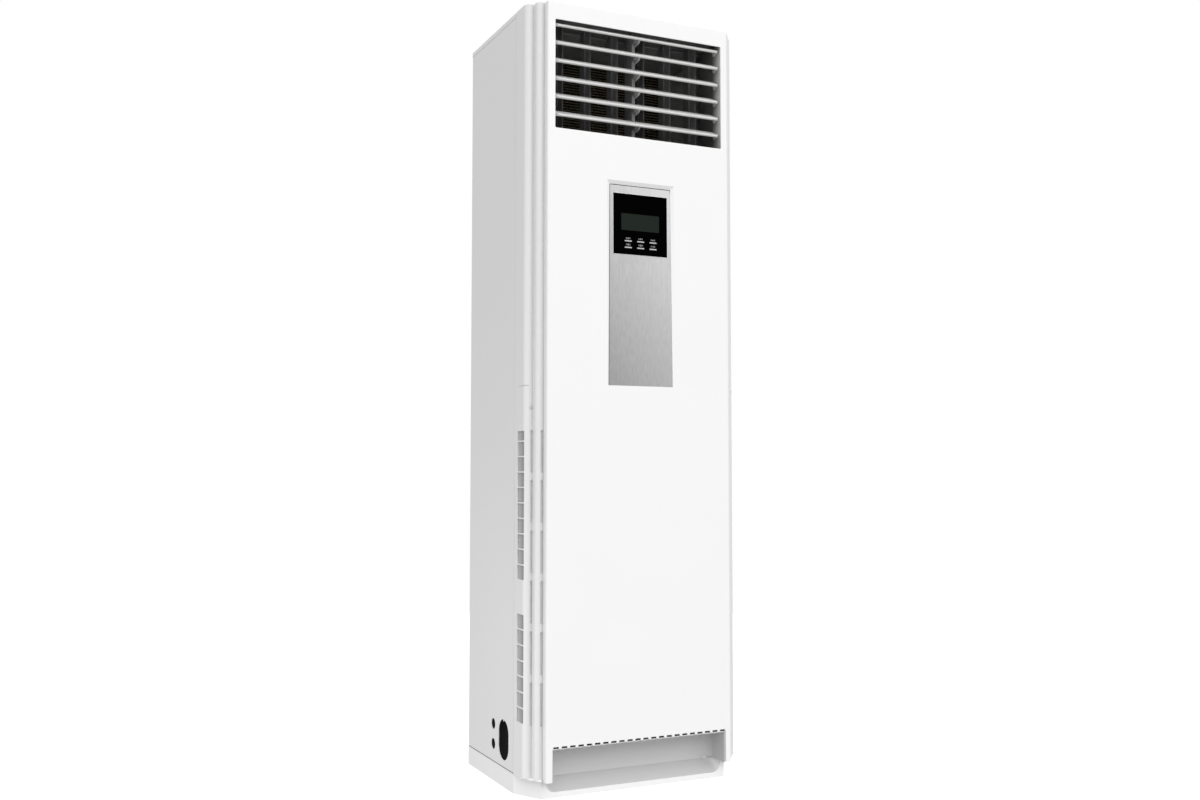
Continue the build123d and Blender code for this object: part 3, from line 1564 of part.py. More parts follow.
with BuildPart() as capacitor:
    capacitor_place = (
        box_right - sheet - standoff - capacitor_radius,
        box_high - 4 * side_return - capacitor_height,
    )
    with BuildSketch(Plane.XY.offset(capacitor_place[1])):
        with Locations((capacitor_place[0], behind(tray_floor - capacitor_radius))):
            Circle(radius=capacitor_radius)
    extrude(amount=capacitor_height)
    fillet(capacitor.edges().group_by(Axis.Z)[0], radius=capacitor_radius / 8)
    with BuildSketch(Plane.XY.offset(capacitor_place[1] + capacitor_height)):
        with Locations((capacitor_place[0], behind(tray_floor - capacitor_radius))):
            with GridLocations(capacitor_radius / 2, 0, 2, 1):
                Rectangle(sheet, capacitor_radius / 3)
    extrude(amount=capacitor_radius / 2)
hand_over(capacitor, "capacitor")

# ================================================================== filters
def filter_strip(sign, thickness):
    """Strip that follows the stepped column inside, behind its slits and cells."""
    inner = filter_inset + thickness
    with BuildSketch() as strip:
        add(column_face(sign, filter_inset, filter_back, filter_back))
        add(
            column_face(sign, inner, filter_back + overcut, filter_back + overcut),
            mode=Mode.SUBTRACT,
        )
    return strip.sketch


for sign, side_name in ((-1, "left"), (1, "right")):
    with BuildPart() as air_filter:
        filter_tall = filter_high - filter_low
        start = Location((0, 0, filter_low))
        extrude(filter_strip(sign, filter_web).moved(start), amount=filter_tall)
        # ribs across the mesh
        rib_pitch = (filter_tall - filter_border) / filter_rows
        for row in range(filter_rows + 1):
            start = Location((0, 0, filter_low + row * rib_pitch))
            extrude(filter_strip(sign, filter_thickness).moved(start), amount=filter_border)
        # upright border along the back
        border_x = side_x - filter_inset - filter_thickness / 2
        with BuildSketch(Plane.XY.offset(filter_low)):
            with Locations((sign * border_x, behind(filter_back - filter_border / 2))):
                Rectangle(filter_thickness, filter_border)
        extrude(amount=filter_tall)
    hand_over(air_filter, f"filter_{side_name}")
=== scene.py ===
# %% [markdown]
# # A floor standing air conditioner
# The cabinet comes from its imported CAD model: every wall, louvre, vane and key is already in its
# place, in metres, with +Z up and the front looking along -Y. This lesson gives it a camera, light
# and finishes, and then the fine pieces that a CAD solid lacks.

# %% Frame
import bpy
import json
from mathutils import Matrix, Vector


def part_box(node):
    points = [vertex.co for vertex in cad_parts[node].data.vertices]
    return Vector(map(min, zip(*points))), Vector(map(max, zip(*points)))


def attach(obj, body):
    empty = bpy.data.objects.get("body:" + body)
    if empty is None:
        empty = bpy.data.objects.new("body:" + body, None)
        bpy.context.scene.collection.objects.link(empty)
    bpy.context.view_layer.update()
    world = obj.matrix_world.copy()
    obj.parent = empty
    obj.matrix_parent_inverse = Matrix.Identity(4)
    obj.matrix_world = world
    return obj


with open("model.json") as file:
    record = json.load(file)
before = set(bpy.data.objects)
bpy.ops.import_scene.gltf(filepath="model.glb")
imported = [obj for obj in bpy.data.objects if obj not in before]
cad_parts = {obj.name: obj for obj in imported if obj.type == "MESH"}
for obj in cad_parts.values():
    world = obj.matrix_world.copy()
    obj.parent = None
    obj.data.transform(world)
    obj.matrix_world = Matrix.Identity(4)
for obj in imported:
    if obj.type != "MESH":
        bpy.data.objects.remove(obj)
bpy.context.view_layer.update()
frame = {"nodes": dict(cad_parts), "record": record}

import json
import math

import bpy
import numpy as np
from mathutils import Vector

nodes = frame["nodes"]
scene = bpy.context.scene

# %% [markdown]
# ## Camera
# A photograph fixes its camera: the edges that are upright and level on the real cabinet run to
# vanishing points, and these give the lens and the turn. The cabinet's known width gives the
# distance. The camera stands low and to the left, so the left side shows and the top does not.

# %% Camera
IMAGE_WIDTH = 1200
FOCAL_PIXELS = 1204.22
STANDS_AT = (-1.2600, -2.6413, 0.7214)
LOOKS_UP = 3.255
LOOKS_RIGHT = 25.342
camera_data = bpy.data.cameras.new("camera")
camera_data.sensor_fit = "HORIZONTAL"
camera_data.sensor_width = 36.0
camera_data.lens = FOCAL_PIXELS * camera_data.sensor_width / IMAGE_WIDTH
camera = bpy.data.objects.new("camera", camera_data)
camera.location = STANDS_AT
# unturned, a camera looks straight down, so 90 degrees bring it level
camera.rotation_euler = (math.radians(90 + LOOKS_UP), 0.0, math.radians(-LOOKS_RIGHT))
scene.collection.objects.link(camera)
scene.camera = camera
print("lens", round(camera_data.lens, 2), "mm")

# %% [markdown]
# ## Sums on sockets
# A finish is a small formula: a base colour, a little noise in it, a fine bump. Written out as
# nodes it is long, so one class wraps a socket and lets plain operators add the Math nodes. A
# number may stand on either side, as in 1 - mask.


# %% Sums on sockets
class Wire:
    """A socket that takes part in sums: each operator adds a Math node to its wiring."""

    def __init__(self, wiring, socket):
        self.wiring = wiring
        self.socket = socket

    def __add__(self, other):
        return self.wiring.maths("ADD", self, other)

    def __radd__(self, other):
        return self.wiring.maths("ADD", other, self)

    def __sub__(self, other):
        return self.wiring.maths("SUBTRACT", self, other)

    def __rsub__(self, other):
        return self.wiring.maths("SUBTRACT", other, self)

    def __mul__(self, other):
        return self.wiring.maths("MULTIPLY", self, other)

    def __rmul__(self, other):
        return self.wiring.maths("MULTIPLY", other, self)

    def __pow__(self, other):
        return self.wiring.maths("POWER", self, other)

    def __gt__(self, other):
        return self.wiring.maths("GREATER_THAN", self, other)

    def wave(self, pitch):
        """Sine that repeats every pitch metres, from 0 to 1."""
        return self.wiring.maths("SINE", self * (2 * math.pi / pitch)) * 0.5 + 0.5


print("Wire: a socket with + - * ** and >")

# %% [markdown]
# ## Wiring
# A material and the world each own a tree of nodes. One class clears that tree and adds to it, and
# one of its methods makes every node there is: its type, then its settings, then the numbers,
# colours or wires of its sockets. Colours are mixed by a Mix node, because a Math node would turn
# them grey.

# %% Wiring
# where the Mix node keeps its sockets when it mixes colours
MIX_FACTOR, MIX_FIRST, MIX_SECOND, MIX_RESULT = 0, 6, 7, 2


class Wiring:
    """The nodes of one material or of the world."""

    def __init__(self, owner):
        owner.use_nodes = True
        self.tree = owner.node_tree
        self.tree.nodes.clear()

    def plug(self, socket, value):
        """Link a wire to a socket, or give it a fixed number or colour."""
        if isinstance(value, Wire):
            self.tree.links.new(value.socket, socket)
        elif socket.type == "RGBA" and len(value) == 3:
            socket.default_value = (*value, 1.0)
        else:
            socket.default_value = value

    def node(self, kind, settings=None, values=None, output=0):
        """Any node: its settings first, then the numbers or wires of its sockets."""
        made = self.tree.nodes.new(kind)
        for name, value in (settings or {}).items():
            setattr(made, name, value)
        for name, value in (values or {}).items():
            self.plug(made.inputs[name], value)
        # an output node has no socket to hand on
        if len(made.outputs) > 0:
            return Wire(self, made.outputs[output])

    def maths(self, operation, *terms):
        """One Math node on numbers or wires."""
        return self.node("ShaderNodeMath", {"operation": operation}, dict(enumerate(terms)))

    def blend(self, factor, first, second):
        """Colour that runs from the first to the second as the factor goes from 0 to 1."""
        colours = {MIX_FACTOR: factor, MIX_FIRST: first, MIX_SECOND: second}
        return self.node("ShaderNodeMix", {"data_type": "RGBA"}, colours, MIX_RESULT)

    def ramp(self, value, low, high, start=0.0, end=1.0):
        """Number from start, at low, to end, at high; it stays there beyond them."""
        values = {"Value": value, "From Min": low, "From Max": high, "To Min": start, "To Max": end}
        return self.node("ShaderNodeMapRange", None, values)


print("Wiring: nodes, maths, blends and ramps")

# %% [markdown]
# ## Room
# White goods are shot in a white room, and the trick is to keep white on white readable. The
# camera sees a pure white backdrop, while the room that lights the cabinet is a soft gradient:
# brighter overhead than below, so a hollow that looks at the floor turns grey, and brightest
# in front and a little above, like a wall of soft boxes. A room lights a flat panel evenly from
# top to foot, where a lamp would fade along it, and it still gives each step of the fluted corners
# a bright crest and a soft valley. The Standard view keeps white white, where a film-like view
# greys it.

# %% Room
scene.view_settings.view_transform = "Standard"
scene.view_settings.look = "None"
WHITE = (1.0, 1.0, 1.0)
ROOM_BELOW = 0.5
ROOM_ABOVE = 0.88
# heights of a direction, from -1 to 1, between which the room brightens
ROOM_RISE = (-0.2, 0.45)
ROOM_SEEN = 1.0
WALL_GLOW = 2.6
WALL_FALL = 8.0
WALL_TOWARDS = Vector((0.02, -0.80, 0.56)).normalized()


def make_room():
    """Gradient over height, plus glow * (direction . towards) ^ fall; plain to the camera."""
    world = bpy.data.worlds.new("room")
    room = Wiring(world)
    way = room.node("ShaderNodeTexCoord", output="Generated")
    height = room.node("ShaderNodeSeparateXYZ", None, {"Vector": way}, "Z")
    soft = room.ramp(height, *ROOM_RISE, ROOM_BELOW, ROOM_ABOVE)
    both = {0: way, 1: WALL_TOWARDS}
    facing = room.node("ShaderNodeVectorMath", {"operation": "DOT_PRODUCT"}, both, "Value")
    wall = room.maths("MAXIMUM", facing, 0.0) ** WALL_FALL * WALL_GLOW
    light = room.node("ShaderNodeBackground", None, {"Color": WHITE, "Strength": wall + soft})
    plain = room.node("ShaderNodeBackground", None, {"Color": WHITE, "Strength": ROOM_SEEN})
    seen = room.node("ShaderNodeLightPath", output="Is Camera Ray")
    choice = room.node("ShaderNodeMixShader", None, {"Fac": seen, 1: light, 2: plain})
    room.node("ShaderNodeOutputWorld", None, {"Surface": choice})
    return world


scene.world = make_room()
print("room from", ROOM_BELOW, "to", ROOM_ABOVE, "with a wall of", WALL_GLOW)

# %% [markdown]
# ## Glow from the floor
# A white floor throws light up the side of the cabinet, most of all near its foot. The floor of
# this scene is kept from lighting anything, so one small low lamp at the left stands for it.

# %% Glow from the floor
GLOW_PLACE = Vector((-1.15, -0.12, 0.06))
GLOW_AIM = Vector((-0.27, 0.0, 0.12))
GLOW_SIZE = 0.5
GLOW_POWER = 2.4
glow_data = bpy.data.lights.new("floor_glow", "AREA")
glow_data.shape = "SQUARE"
glow_data.size = GLOW_SIZE
glow_data.energy = GLOW_POWER
glow = bpy.data.objects.new("floor_glow", glow_data)
glow.location = GLOW_PLACE
glow.rotation_euler = (GLOW_AIM - GLOW_PLACE).to_track_quat("-Z", "Y").to_euler()
scene.collection.objects.link(glow)

# %% [markdown]
# ## Tones and spreads
# Four small helpers keep the finishes short. White goods are all greys, so most colours are one
# number. A tone is that colour made darker or lighter, a noise moves a value up and down round its
# middle, and a noise that is squeezed along one axis turns into lines.


# %% Tones and spreads
def tint(colour, factor):
    """A colour made lighter or darker."""
    return tuple(min(1.0, part * factor) for part in colour)


def grey(value):
    """A colour with three equal parts."""
    return (value, value, value)


def spread(middle, noise, width):
    """Number that a noise moves up and down round its middle."""
    return middle + (noise - 0.5) * width


def lengthwise(axis, share):
    """Scale that draws a noise out along one axis, the more the smaller the share."""
    return tuple(share if letter == axis else 1.0 for letter in "XYZ")


print("white panel", tint(grey(0.86), 1.01), "lines along Z", lengthwise("Z", 0.02))

# %% [markdown]
# ## A finish
# A finish is the wiring of one Principled shader. Its patterns read Object coordinates, so they are
# in metres and stay on the piece when it moves. What is the same all over is set on the shader's
# own sockets, and only what varies is wired to it.


# %% A finish
class Finish(Wiring):
    """A material with one Principled shader, built up by formulas."""

    def __init__(self, name, **fixed):
        self.material = bpy.data.materials.new(name)
        super().__init__(self.material)
        shader = self.node("ShaderNodeBsdfPrincipled")
        self.node("ShaderNodeOutputMaterial", None, {"Surface": shader})
        self.shader = shader.socket.node
        self.set(**fixed)

    def set(self, **values):
        """Values of the shader's sockets; Base_Color stands for the socket Base Color."""
        for name, value in values.items():
            self.plug(self.shader.inputs[name.replace("_", " ")], value)

    def place(self, stretch=(1, 1, 1)):
        """Object coordinates in metres, squeezed or stretched along the axes."""
        where = self.node("ShaderNodeTexCoord", output="Object")
        return self.node("ShaderNodeMapping", None, {"Vector": where, "Scale": stretch})

    def along(self, axis):
        """One object coordinate in metres."""
        return self.node("ShaderNodeSeparateXYZ", None, {"Vector": self.place()}, axis)

    def facing(self, axis):
        """How far the surface faces along one axis, from -1 to 1."""
        normal = self.node("ShaderNodeNewGeometry", output="Normal")
        return self.node("ShaderNodeSeparateXYZ", None, {"Vector": normal}, axis)

    def noise(self, size, detail=2.0, stretch=(1, 1, 1)):
        """Soft noise whose grain is about size metres, from 0 to 1."""
        values = {"Vector": self.place(stretch), "Scale": 1.0 / size, "Detail": detail}
        return self.node("ShaderNodeTexNoise", None, values)

    def shades(self, factor, colour, dark, light):
        """One colour, dark times itself where the factor is 0 and light times where it is 1."""
        return self.blend(factor, tint(colour, dark), tint(colour, light))

    def bump(self, height, strength, depth):
        """Fine relief from a height between 0 and 1, this many metres deep."""
        values = {"Height": height, "Strength": strength, "Distance": depth}
        self.set(Normal=self.node("ShaderNodeBump", None, values))


print("Finish: noise, shades and relief")

# %% [markdown]
# ## Moulded plastic
# Most of the cabinet is moulded plastic. Its tone drifts a little over a large panel, and a fine
# even grain breaks up its gloss. A wide soft noise makes the one and a fine noise the other, in
# roughness and relief at once. Each kind of surface is a function like this one, so that a finish
# is one line that names its colour and gloss.

# %% Moulded plastic
CLOUD_SIZE = 0.16
GRAIN_SIZE = 0.0009
GRAIN_DEPTH = 0.0002


def moulded(name, colour, roughness, grain=0.15, size=GRAIN_SIZE, **fixed):
    """Moulded plastic: cloudy tone over a hand's width, and a fine grain in gloss and relief."""
    finish = Finish(name, **fixed)
    fine = finish.noise(size, detail=1.0)
    cloud = finish.noise(CLOUD_SIZE, detail=3.0)
    finish.set(Base_Color=finish.shades(cloud, colour, 0.985, 1.01))
    finish.set(Roughness=spread(roughness, fine, 0.12))
    finish.bump(fine, grain, GRAIN_DEPTH)
    return finish


print("moulded: clouds of", CLOUD_SIZE, "m, grain of", GRAIN_SIZE, "m")

# %% [markdown]
# ## Painted sheet steel
# The two side panels are sheet steel under powder coat, which sets with a faint orange peel. Along
# their lower edge a thin painted shadow line stands for the shade where they meet the base, so the
# paint may end at a height above the base. The motors' cans are painted in the same way.

# %% Painted sheet steel
PEEL_SIZE = 0.0022
PEEL_DEPTH = 0.0003
PAINT_DRIFT = 0.3
FOOT_SHADE = grey(0.1)
FOOT_SHADE_BLUR = 0.0005


def coated(name, colour, roughness=0.42, foot=None):
    """Powder coat: shallow orange peel, and a painted shadow line below the foot height."""
    finish = Finish(name)
    peel = finish.noise(PEEL_SIZE)
    paint = finish.shades(finish.noise(PAINT_DRIFT), colour, 0.98, 1.01)
    if foot:
        # below the foot height the coat turns into a painted shadow line
        painted = finish.ramp(finish.along("Z"), foot, foot + FOOT_SHADE_BLUR)
        paint = finish.blend(painted, FOOT_SHADE, paint)
    finish.set(Base_Color=paint, Roughness=spread(roughness, peel, 0.1))
    finish.bump(peel, 0.12, PEEL_DEPTH)
    return finish


print("coated: orange peel of", PEEL_SIZE, "m")

# %% [markdown]
# ## Zinc
# The rear panel, the deck and the boxes inside are galvanised sheet. Zinc freezes in flat spangles
# a centimetre across, each a slightly different grey. The cells of a Voronoi pattern are such a
# mosaic, and the colour that it gives each cell sets both the tone and the gloss.

# %% Zinc
SPANGLES_PER_METRE = 90.0


def zinc(name, colour):
    """Galvanised sheet: flat spangles in slightly different greys."""
    finish = Finish(name, Metallic=0.85)
    values = {"Vector": finish.place(), "Scale": SPANGLES_PER_METRE}
    spangle = finish.node("ShaderNodeTexVoronoi", None, values, "Color")
    tone = finish.node("ShaderNodeSeparateColor", None, {"Color": spangle})
    finish.set(Base_Color=finish.shades(tone, colour, 0.82, 1.1))
    finish.set(Roughness=0.32 + tone * 0.2)
    return finish


print("zinc:", SPANGLES_PER_METRE, "spangles to a metre")

# %% [markdown]
# ## Drawn and brushed metal
# Tubes, screws and the silver plate have fine lines along one axis: a noise that is drawn out far
# along it. The plate also has a painted sheen: its colour is duller towards its lower left corner,
# as brushed metal looks where it faces a darker part of the room, and soft streaks along the
# brushing make that fall uneven.

# %% Drawn and brushed metal
BRUSH_SIZE = 0.0006
BRUSH_DEPTH = 0.0001
STREAK_SIZE = 0.004
SHEEN_TO_RIGHT = 1.8


def brush(finish, roughness, axis):
    """Fine lines along one axis, in gloss and relief; they come back to shade the colour."""
    lines = finish.noise(BRUSH_SIZE, detail=3.0, stretch=lengthwise(axis, 0.02))
    finish.set(Roughness=spread(roughness, lines, 0.25))
    finish.bump(lines, 0.15, BRUSH_DEPTH)
    return lines


def drawn(name, colour, roughness, axis, metallic=1.0, contrast=0.11, fall=None):
    """Metal with fine lines along one axis, and if asked a painted sheen that falls to a dark
    corner.
    """
    finish = Finish(name, Metallic=metallic)
    tone = finish.shades(brush(finish, roughness, axis), colour, 1 - contrast, 1 + contrast)
    if fall:
        low, high, dark = fall
        streaks = finish.noise(STREAK_SIZE, detail=3.0, stretch=lengthwise(axis, 0.2))
        # the painted sheen grows upwards, and to the right
        painted_sheen = finish.along("Z") + finish.along("X") * SHEEN_TO_RIGHT
        bright = finish.ramp(spread(painted_sheen, streaks, 0.35), low, high)
        tone = finish.blend(bright, tint(colour, dark), tone)
    finish.set(Base_Color=tone)
    return finish


print("drawn: lines of", BRUSH_SIZE, "m")

# %% [markdown]
# ## Keys with a bar
# Each key is black with a bright brushed bar across its middle. The six keys stand in an even grid,
# so one finish serves them all: a Ping-Pong node folds the grid onto one key, and gives how far a
# point is from the middle of the nearest.

# %% Keys with a bar
# across and up: where a key's middle lies, the pitch of the keys, and half the bar's size
KEY_GRID = (("X", 0.0, 0.032, 0.0088), ("Z", 1.2418, 0.015, 0.0014))
KEY_BLACK = grey(0.002)
BAR_BLUR = 0.0001


def barred(name, colour):
    """Black key with a bright bar across its middle, on every key of the grid at once."""
    finish = Finish(name, Metallic=0.3)
    silver = finish.shades(brush(finish, 0.4, "X"), colour, 0.9, 1.1)
    shares = []
    for axis, start, pitch, half in KEY_GRID:
        apart = finish.maths("PINGPONG", finish.along(axis) - start, pitch / 2)
        shares.append(1.0 - finish.ramp(apart, half - BAR_BLUR, half + BAR_BLUR))
    finish.set(Base_Color=finish.blend(shares[0] * shares[1], KEY_BLACK, silver))
    return finish


print("barred: bars", 2 * KEY_GRID[0][3], "m long")

# %% [markdown]
# ## Fins
# The coil's face is the edges of hundreds of thin upright fins, too fine for geometry. A sine
# across the width repeats them as dark and less dark lines, and a noise drawn out along them makes
# a few of them bent and dull.

# %% Fins
FIN_PITCH = 0.0016
FIN_BEND = 0.004
FIN_DEPTH = 0.0006


def finned(name, colour):
    """Edges of thin upright fins: dark gaps between lines that repeat across the width."""
    finish = Finish(name, Metallic=0.3, Roughness=0.6)
    edge = finish.along("X").wave(FIN_PITCH)
    uneven = finish.noise(FIN_BEND, stretch=lengthwise("Z", 0.1))
    finish.set(Base_Color=finish.shades(edge * uneven, colour, 0.7, 1.3))
    finish.bump(edge, 0.6, FIN_DEPTH)
    return finish


print("finned: a fin every", FIN_PITCH, "m")

# %% [markdown]
# ## Filter net
# The filter behind the cells is a woven net: one sine for its upright threads and one for the level
# ones, whose sum is dark in the holes between them. Behind the slits the net is painted lighter, as
# painted light. On the side, where the air comes in, it is painted darker towards the front, as
# painted shade.

# %% Filter net
NET_PITCH = 0.0022
THREAD_DEPTH = 0.0004
# how far out the nets of the sides begin, and where their painted shade begins and is full
SIDE_NET = 0.262
SIDE_SHADE_SPAN = (-0.118, -0.158)


def meshed(name, colour):
    """Woven filter net with dark holes; painted lighter behind the slits, darker towards the front
    at the sides.
    """
    finish = Finish(name, Roughness=0.7)
    upright = (finish.along("X") + finish.along("Y")).wave(NET_PITCH)
    level = finish.along("Z").wave(NET_PITCH)
    thread = (upright ** 2 + level ** 2) * 0.6
    side = finish.maths("ABSOLUTE", finish.along("X")) > SIDE_NET
    # behind the slits the net is painted lighter: painted light
    slits_lit = finish.blend(side, tint(colour, 1.25), colour)
    net = finish.blend(thread, tint(colour, 0.55), slits_lit)
    # painted shade behind the side cells, full towards the front
    side_shade = side * finish.ramp(finish.along("Y"), *SIDE_SHADE_SPAN)
    finish.set(Base_Color=finish.blend(side_shade, net, tint(colour, 0.31)))
    finish.bump(thread, 0.5, THREAD_DEPTH)
    return finish


print("meshed: a thread every", NET_PITCH, "m")

# %% [markdown]
# ## Corner columns
# The columns step back twice between the side and the front panel. Painted shade in the two inner
# corners makes each step read as a soft valley, where clean white would flatten it. The top cover
# is of the same plastic, and the same darkening covers all of its middle. A short mould seam runs
# level across the column's side above the cells. It is a line in the colour, because a groove that
# fine would cost the CAD model far more faces than it shows.

# %% Corner columns
FLUTE_STEP = 0.2512
PANEL_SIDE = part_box("front_panel")[1][0]
COLUMN_SIDE = 0.26
# where the painted shade of each valley starts and is full, out from the middle of the cabinet
OUTER_VALLEY = (FLUTE_STEP + 0.0165, FLUTE_STEP + 0.0005)
INNER_VALLEY = (FLUTE_STEP - 0.0012, PANEL_SIDE + 0.001)
SEAM_HEIGHT = 0.9055
# where the seam begins and is full: away from its height, and along the side towards the front
SEAM_EDGES = (0.0012, 0.0004)
SEAM_ENDS = (-0.112, -0.15)


def fluted(name, colour):
    """Moulded column: painted shade in its two valleys, and a short mould seam on its side."""
    finish = moulded(name, colour, 0.45, 0.03)
    out = finish.maths("ABSOLUTE", finish.along("X"))
    outer = out > FLUTE_STEP
    # painted shade: full in each valley and fading out of it
    valley_shade = outer * finish.ramp(out, *OUTER_VALLEY)
    valley_shade += (1.0 - outer) * finish.ramp(out, *INNER_VALLEY)
    valley_shaded = finish.blend(valley_shade, colour, tint(colour, 0.74))
    apart = finish.maths("ABSOLUTE", finish.along("Z") - SEAM_HEIGHT)
    seam = finish.ramp(apart, *SEAM_EDGES) * finish.ramp(finish.along("Y"), *SEAM_ENDS)
    seam *= out > COLUMN_SIDE
    finish.set(Base_Color=finish.blend(seam, valley_shaded, tint(colour, 0.5)))
    return finish


print("fluted: step at", FLUTE_STEP, "m, seam at", SEAM_HEIGHT, "m")

# %% [markdown]
# ## Walls of the hollows
# Three mouldings have painted light and shade over their surface, to stand for the light in a
# hollow. The cheeks beside the louvres are painted darker with depth, as painted shade. The foam
# lining of the air duct has its side walls painted lighter than its roof and floor, as painted
# light. The base is painted darker where it faces up, as painted shade in its toe space.

# %% Walls of the hollows
CHEEK_DEPTHS = (-0.199, -0.155)
# how far a face has to look sideways or up, from hardly to fully
UPRIGHT_WALL = (0.5, 0.9)
LEVEL_TOP = (0.55, 0.9)


def fading(name, front, back):
    """Moulded wall painted from its front colour to its back colour with depth, as painted shade.
    """
    finish = moulded(name, front, 0.5)
    # painted shade that deepens into the hollow
    deep = finish.ramp(finish.along("Y"), *CHEEK_DEPTHS)
    finish.set(Base_Color=finish.blend(deep, front, back))
    return finish


def lined(name, colour, lit_walls):
    """Foam lining of the air duct: one colour above and below, and side walls painted lighter."""
    finish = moulded(name, colour, 0.85, 0.25, 0.003)
    sideways = finish.maths("ABSOLUTE", finish.facing("X"))
    upright = finish.ramp(sideways, *UPRIGHT_WALL)
    # side walls painted lighter than roof and floor: painted light
    finish.set(Base_Color=finish.blend(upright, colour, lit_walls))
    return finish


def footed(name, colour):
    """Moulding of the base, painted darker where it faces up, as painted shade in its toe space."""
    finish = moulded(name, colour, 0.5, 0.12)
    # faces that look up are painted darker: painted shade
    upward_shade = finish.ramp(finish.facing("Z"), *LEVEL_TOP)
    finish.set(Base_Color=finish.blend(upward_shade, colour, tint(colour, 0.65)))
    return finish


print("fading, lined and footed: tone by depth and by facing")

# %% [markdown]
# ## Finishes that show
# The record names a material slot for every CAD node, so pieces of one plastic get one finish.
# These are the slots of what shows from the front. The display window is piano black: its gloss is
# kept low, because the room would otherwise wash it grey, and the photograph shows it deep black.

# %% Finishes that show
# how high the painted shadow line at the side panels' foot reaches
FOOT_SHADE_HEIGHT = 0.0009
SHEET_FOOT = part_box("side_panel_left")[0][2] + FOOT_SHADE_HEIGHT
# where the plate's painted sheen starts and is full, and what is left of the colour at the start
PLATE_FALL = (0.79, 1.54, 0.535)
finishes = {
    "panel_white": moulded("panel_white", grey(0.86), 0.42, 0.03),
    "column_white": fluted("column_white", grey(0.80)),
    "base_grey": footed("base_grey", grey(0.87)),
    "sheet_white": coated("sheet_white", grey(0.79), foot=SHEET_FOOT),
    "louvre_grey": moulded("louvre_grey", (0.64, 0.64, 0.63), 0.45, 0.08),
    "frame_dark": moulded("frame_dark", (0.22, 0.22, 0.222), 0.5),
    "trim_silver": drawn("trim_silver", grey(0.6), 0.45, "Z", 0.7, 0.07, PLATE_FALL),
    "window_black": moulded("window_black", grey(0.0005), 0.1, 0.0, IOR=1.04),
    "lcd_dark": moulded("lcd_dark", (0.015, 0.021, 0.016), 0.3, 0.0, IOR=1.08),
    "key_silver": barred("key_silver", grey(0.45)),
    "fin_aluminium": finned("fin_aluminium", (0.012, 0.012, 0.011)),
    "liner_dark": lined("liner_dark", grey(0.37), grey(0.8)),
    "filter_mesh": meshed("filter_mesh", grey(0.70)),
}
print(len(finishes), "finishes that show")

# %% [markdown]
# ## Finishes inside
# The insides are finished as carefully, because a cover may be taken off: zinc sheet, copper and
# brass for the cooling circuit, green boards, steel screws and the dark paint of motors.

# %% Finishes inside
finishes |= {
    "board_green": moulded("board_green", (0.02, 0.12, 0.05), 0.35),
    "tube_copper": drawn("tube_copper", (0.72, 0.36, 0.2), 0.3, "X"),
    "galvanised": zinc("galvanised", (0.55, 0.56, 0.57)),
    "pan_white": moulded("pan_white", (0.7, 0.7, 0.68), 0.5),
    "fan_grey": moulded("fan_grey", (0.12, 0.12, 0.125), 0.5),
    "housing_grey": moulded("housing_grey", (0.4, 0.4, 0.39), 0.5),
    "motor_black": coated("motor_black", (0.02, 0.02, 0.022)),
    "nut_brass": drawn("nut_brass", (0.75, 0.55, 0.25), 0.25, "X"),
    "capacitor_case": drawn("capacitor_case", grey(0.6), 0.35, "Z"),
    "terminal_cream": moulded("terminal_cream", (0.62, 0.57, 0.4), 0.5),
    "screw_steel": drawn("screw_steel", grey(0.6), 0.3, "X"),
}
print(len(finishes), "finishes in all")

# %% [markdown]
# ## Finishes on the nodes
# Each node's mesh drops the plain material that it came with and takes the finish of its slot. The
# toe cover and the cheeks beside the louvres share their neighbours' plastic, but sit in the shade
# of a hollow, so they get darker finishes of their own.

# %% Finishes on the nodes
slots = {entry["node"]: entry["material_slot"] for entry in frame["record"]["subparts"]}
for node, slot in slots.items():
    mesh = nodes[node].data
    mesh.materials.clear()
    mesh.materials.append(finishes[slot].material)
toe_shade = moulded("toe_shade", grey(0.57), 0.5, 0.12)
cheek_shade = fading("cheek_shade", (0.72, 0.72, 0.71), grey(0.14))
nodes["toe_cover"].data.materials[0] = toe_shade.material
for node in ("louvre_cheek_left", "louvre_cheek_right"):
    nodes[node].data.materials[0] = cheek_shade.material
print(len(set(slots.values())), "slots on", len(slots), "nodes")

# %% [markdown]
# ## Surfaces from numbers
# The fine pieces are made of closed surfaces. Each is a grid of points, row by row, where every
# row is a ring. One function turns any stack of such grids into one mesh: it joins ring to ring
# with quads, closes both ends with a cap, and turns a grid over where its faces look inwards.


# %% Surfaces from numbers
def closed_faces(rows, cols, base):
    """Quads between the rings of one grid, and a cap on its first and its last ring."""
    here = base + np.arange(rows * cols).reshape(rows, cols)
    beside = np.roll(here, -1, axis=1)
    quads = np.stack((here[:-1], beside[:-1], beside[1:], here[1:]), axis=-1)
    return quads.reshape(-1, 4).tolist() + [here[0, ::-1].tolist(), here[-1].tolist()]


def enclosed(grid):
    """Six times the volume inside one grid, by its quads, below zero if they look inwards."""
    here = grid[:-1]
    above = grid[1:]
    beside = np.roll(here, -1, axis=1)
    far = np.roll(above, -1, axis=1)
    middle = grid.reshape(-1, 3).mean(axis=0)
    corners = [part - middle for part in (here, beside, far, above)]
    first = np.einsum("ijk,ijk->", corners[0], np.cross(corners[1], corners[2]))
    second = np.einsum("ijk,ijk->", corners[0], np.cross(corners[2], corners[3]))
    return first + second


print("Surfaces ready")

# %% [markdown]
# ## From grids to a piece
# A piece sits at the origin with its place in its mesh, as a CAD node does. It rides on a body of
# the CAD model, so that it moves with it.


